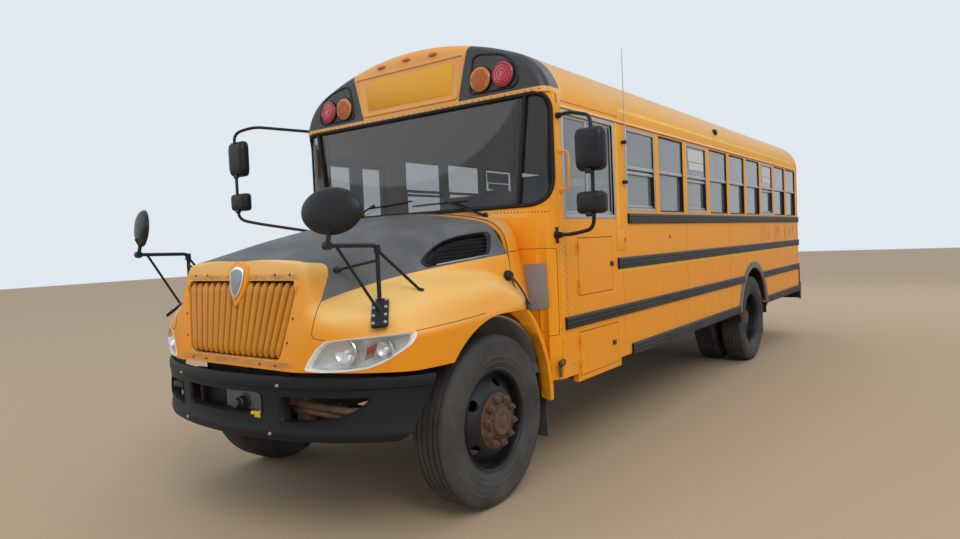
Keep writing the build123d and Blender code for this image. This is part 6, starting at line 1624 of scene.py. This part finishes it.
for sign, label in ((1, "left"), (-1, "right")):
    def onSide(p):
        return Vector((axleX + p[0], sign * p[1], p[2]))

    cross = Shape(mirrorBlack, zinc, podFace, rustyMetal)
    up3, along3 = sided(crossForm["normal"], sign).normalized(), sided(crossForm["along"], sign)
    along3 = (along3 - up3 * along3.dot(up3)).normalized()
    across3, (long3, wide3, deep3) = up3.cross(along3), crossForm["size"]
    middle = onSide(crossForm["plate"])
    middle = hoodTree.ray_cast(middle + up3 * 0.2, -up3)[0] or middle
    outline = [middle + along3 * a + across3 * b - up3 * 0.004 for a, b in roundRect(long3, wide3, 0.022, 5)]
    cross.slab(outline, up3 * (deep3 + 0.004), 0.006, 0, 3)
    for u in crossForm["boltAlong"]:
        for v in crossForm["boltAcross"]:
            at = middle + along3 * u + across3 * v + up3 * deep3
            cross.lathe([(-0.002, 0.0095), (0.003, 0.0095), (0.0035, 0.006), (0.008, 0.0055), (0.009, 0.003)], at, up3, 6, 1)
    cross.tube([onSide(p) for p in crossForm["post"]], 0.0118, 12, 0)
    cross.tube(rounded([onSide(p) for p in crossForm["arm"]], 0.012, 4), 0.0115, 12, 0)
    cross.lathe([(-0.020, 0.019), (0.022, 0.019), (0.026, 0.014)], onSide(crossForm["collar"]), (0, 0, 1), 14, 0)
    cross.lathe([(-0.016, 0.022), (0.016, 0.022)], onSide(crossForm["armEnd"]), (0, sign, 0), 14, 0)
    for k, foot in enumerate(crossForm["feet"]):
        cross.tube([onSide((postX, postY, 1.545 + 0.055 * k)), onSide(foot)], 0.0085, 10, 0)
        cross.lathe([(-0.006, 0.020), (0.006, 0.020), (0.014, 0.010)], onSide(foot), (0.2, sign * 0.35, 0.9), 12, 0)
    cross.tube([onSide(p) for p in crossForm["brace"]], 0.0080, 10, 0)
    pod, (halfW, halfH) = onSide(crossForm["pod"]), crossForm["half"]
    face3 = Vector((-math.cos(crossForm["turn"]), -sign * math.sin(crossForm["turn"]), -0.10)).normalized()
    wide3 = face3.cross(Vector((0, 0, 1))).normalized()
    tall3 = wide3.cross(face3).normalized()
    domed = [(0.006 + 0.020 * math.sin(t), 0.955 * math.cos(t) + 0.001) for t in around(32)[:9]]
    for mat, levels in ((0, crossForm["back"]), (2, domed)):
        cross.solid([[pod + face3 * along + wide3 * halfW * scale * math.cos(t) + tall3 * halfH * scale * math.sin(t)
                      for t in around(48)] for along, scale in levels], mat)
    neck = [onSide(crossForm["armEnd"]), onSide(crossForm["neck"]), pod - face3 * 0.034 - tall3 * 0.07]
    cross.tube(neck, [0.012, 0.012, 0.014], 12, 0)
    place("crossoverMirror_" + label, cross, "hood", "mirror_shell", ["crossover_mirrors"] if sign == 1 else ())
print("crossover mirrors ready")

# side mirrors: tube frame, flat and wide heads
highHead, lowHead = planeHit(588.2, 148.4, 0, axleX - 0.470), planeHit(589.6, 202.2, 0, axleX - 0.470)
leftX, leftY, rightX, rightY = axleX - 0.515, highHead.y, axleX - 0.150, -1.630
mirrorForm = (  # side, tube path, heads: place, width, height
    (1, ((axleX - 0.690, 1.205, 2.445), (axleX - 0.670, 1.330, 2.450), (leftX, leftY, 2.380), (leftX, leftY, 1.672),
         (axleX - 0.600, 1.349, 1.643), (axleX - 0.655, 1.205, 1.643)),
     ((axleX - 0.490, highHead.y, highHead.z, 0.203, 0.272), (axleX - 0.490, lowHead.y, lowHead.z, 0.197, 0.142))),
    (-1, ((axleX - 0.640, -1.165, 2.640), (axleX - 0.270, -1.510, 2.690), (rightX, rightY, 2.640), (rightX, rightY, 1.900),
          (axleX - 0.300, -1.550, 1.860), (axleX - 0.640, -1.165, 1.760)),
     ((axleX - 0.175, rightY, 2.420, 0.210, 0.300), (axleX - 0.175, rightY, 2.050, 0.210, 0.150))))


def mirrorHead(shape, x, y, z, wide, high, taper):
    def line(form, along, scale, narrowing=taper):
        return [Vector((x + along, y + u * wide * scale * (1 - narrowing * max(0.0, -v) * 0.5), z + v * high * scale)) for u, v in form]

    form = roundRect(1.0, 1.0, 0.22, 6)
    shape.solid([line(form, *level) for level in ((-0.040, 0.945), (-0.038, 0.985), (-0.032, 1.0), (-0.010, 1.0), (0.010, 0.965),
                                                  (0.026, 0.885), (0.035, 0.78), (0.040, 0.60), (0.040, 0.02))])
    shape.solid([line(form, -0.0385, 0.93), line(form, -0.0410, 0.93)], 1)
    rib = roundRect(0.30, 0.55, 0.08, 4)  # raised centre rib on the back
    shape.solid([line(rib, 0.030, 1.0, 0), [Vector((x + 0.0398, y + u * wide * 0.95, z + v * high * 0.96)) for u, v in rib]])


mirrorShape = Shape(mirrorBlack, mirrorGlass, rustyMetal)
for sign, path, heads in mirrorForm:
    mirrorShape.tube(rounded(path, 0.07, 6), 0.0125, 14, 0)
    for x, y, z in (path[0], path[-1]):
        way = (1, -1, 0) if sign < 0 else (0, 1, 0)
        mirrorShape.lathe([(-0.004, 0.032), (0.010, 0.032), (0.014, 0.022), (0.045, 0.019)], (x, y, z), way, 18, 0)
        mirrorShape.sideBox(sign, (x - 0.02, x + 0.02), (abs(y), abs(y) + 0.012), (z - 0.055, z + 0.055), 0.005, 0)
    for x, y, z, wide, high in heads:
        mirrorHead(mirrorShape, x, y, z, wide, high, 0.10 if high > 0.2 else 0.0)
        foot = z - high * 0.5
        mirrorShape.box((x + 0.012, y - 0.022, foot - 0.018), (x + 0.040, y + 0.022, foot + 0.012), 0.006, 0)
place("sideMirrors", mirrorShape, "root", "mirror_shell", ["side_mirrors"])
print("side mirrors ready")

# wipers: pivot, jointed arm, blade with bridges
wiperForm = (((0.685, 1.806), (0.347, 1.923), (0.006, 1.914), (0.514, 1.921)),
             ((-0.611, 1.863), (-0.408, 1.942), (-0.468, 1.925), (-0.009, 1.955)))
wiperShape, armX, bladeX = Shape(mirrorBlack, darkMetal), 3.036, 3.030
for pivot, elbow, bladeA, bladeB in (tuple(Vector(p) for p in wiper) for wiper in wiperForm):
    wiperShape.lathe([(-0.010, 0.020), (0.012, 0.020), (0.018, 0.014)], (3.026, pivot.x, max(pivot.y, 1.80)), (1, 0, 0), 16, 0)
    mid = (armX + 0.012, *pivot.lerp(elbow, 0.28))
    wiperShape.tube([(armX, *pivot), mid], [0.016, 0.013], 10, 0, 0.6)
    wiperShape.tube([mid, (armX + 0.016, *elbow)], [0.009, 0.007], 8, 0)
    pts = [Vector((bladeX - 0.004 + 0.006 * math.sin(math.pi * k / 8), *bladeA.lerp(bladeB, k / 8))) for k in range(9)]
    wiperShape.tube([p + Vector((0.008, 0, 0)) for p in pts], 0.0055, 8, 0)
    wiperShape.tube([p - Vector((0.002, 0, 0.002)) for p in pts], 0.0040, 6, 0)
    for y, z in (bladeA.lerp(bladeB, t) for t in (0.12, 0.34, 0.66, 0.88)):
        wiperShape.box((bladeX - 0.006, y - 0.006, z - 0.006), (bladeX + 0.012, y + 0.006, z + 0.006), 0.001, 0)
    y, z = elbow
    wiperShape.box((bladeX + 0.002, y - 0.012, z - 0.008), (bladeX + 0.026, y + 0.012, z + 0.008), 0.003, 0)
place("wiperSet", wiperShape, "root", "black_plastic", ["wipers"])
print("wipers ready")

# floor and light
stageLook = {"floor": (0.46, 0.335, 0.215), "floorSize": 90, "floorZ": -0.001, "sky": (0.79, 0.855, 0.925), "skyPower": 0.95,
             "lights": (("keyLight", (9, 9, 10), (1, 0, 1.2), 7, 560, (1, 0.98, 0.95)),
                        ("fillLight", (12, -9, 7), (1, 0, 1.2), 8, 140, (0.95, 0.97, 1)),
                        ("backLight", (-12, 3, 9), (-1, 0, 1.5), 8, 240, (1, 0.98, 0.96)))}
bpy.ops.mesh.primitive_plane_add(size=stageLook["floorSize"], location=(0, 0, stageLook["floorZ"]))
ground = bpy.context.object
ground.name = "floorPlane"
ground.data.materials.append(Mat("paleFloor").set(Base_Color=stageLook["floor"], Roughness=0.9))
world = bpy.data.worlds.new("studioWorld")
bpy.context.scene.world = world
world.use_nodes = True
background = world.node_tree.nodes["Background"]
background.inputs["Color"].default_value = (*stageLook["sky"], 1)
background.inputs["Strength"].default_value = stageLook["skyPower"]
for name, spot, aim, size, power, color in stageLook["lights"]:
    lamp = bpy.data.lights.new(name, "AREA")
    lamp.shape, lamp.size, lamp.energy, lamp.color = "DISK", size, power, color
    obj = bpy.data.objects.new(name, lamp)
    bpy.context.collection.objects.link(obj)
    obj.location = spot
    obj.rotation_mode = "QUATERNION"
    obj.rotation_quaternion = (Vector(aim) - Vector(spot)).to_track_quat("-Z", "Y")
print("stage set")
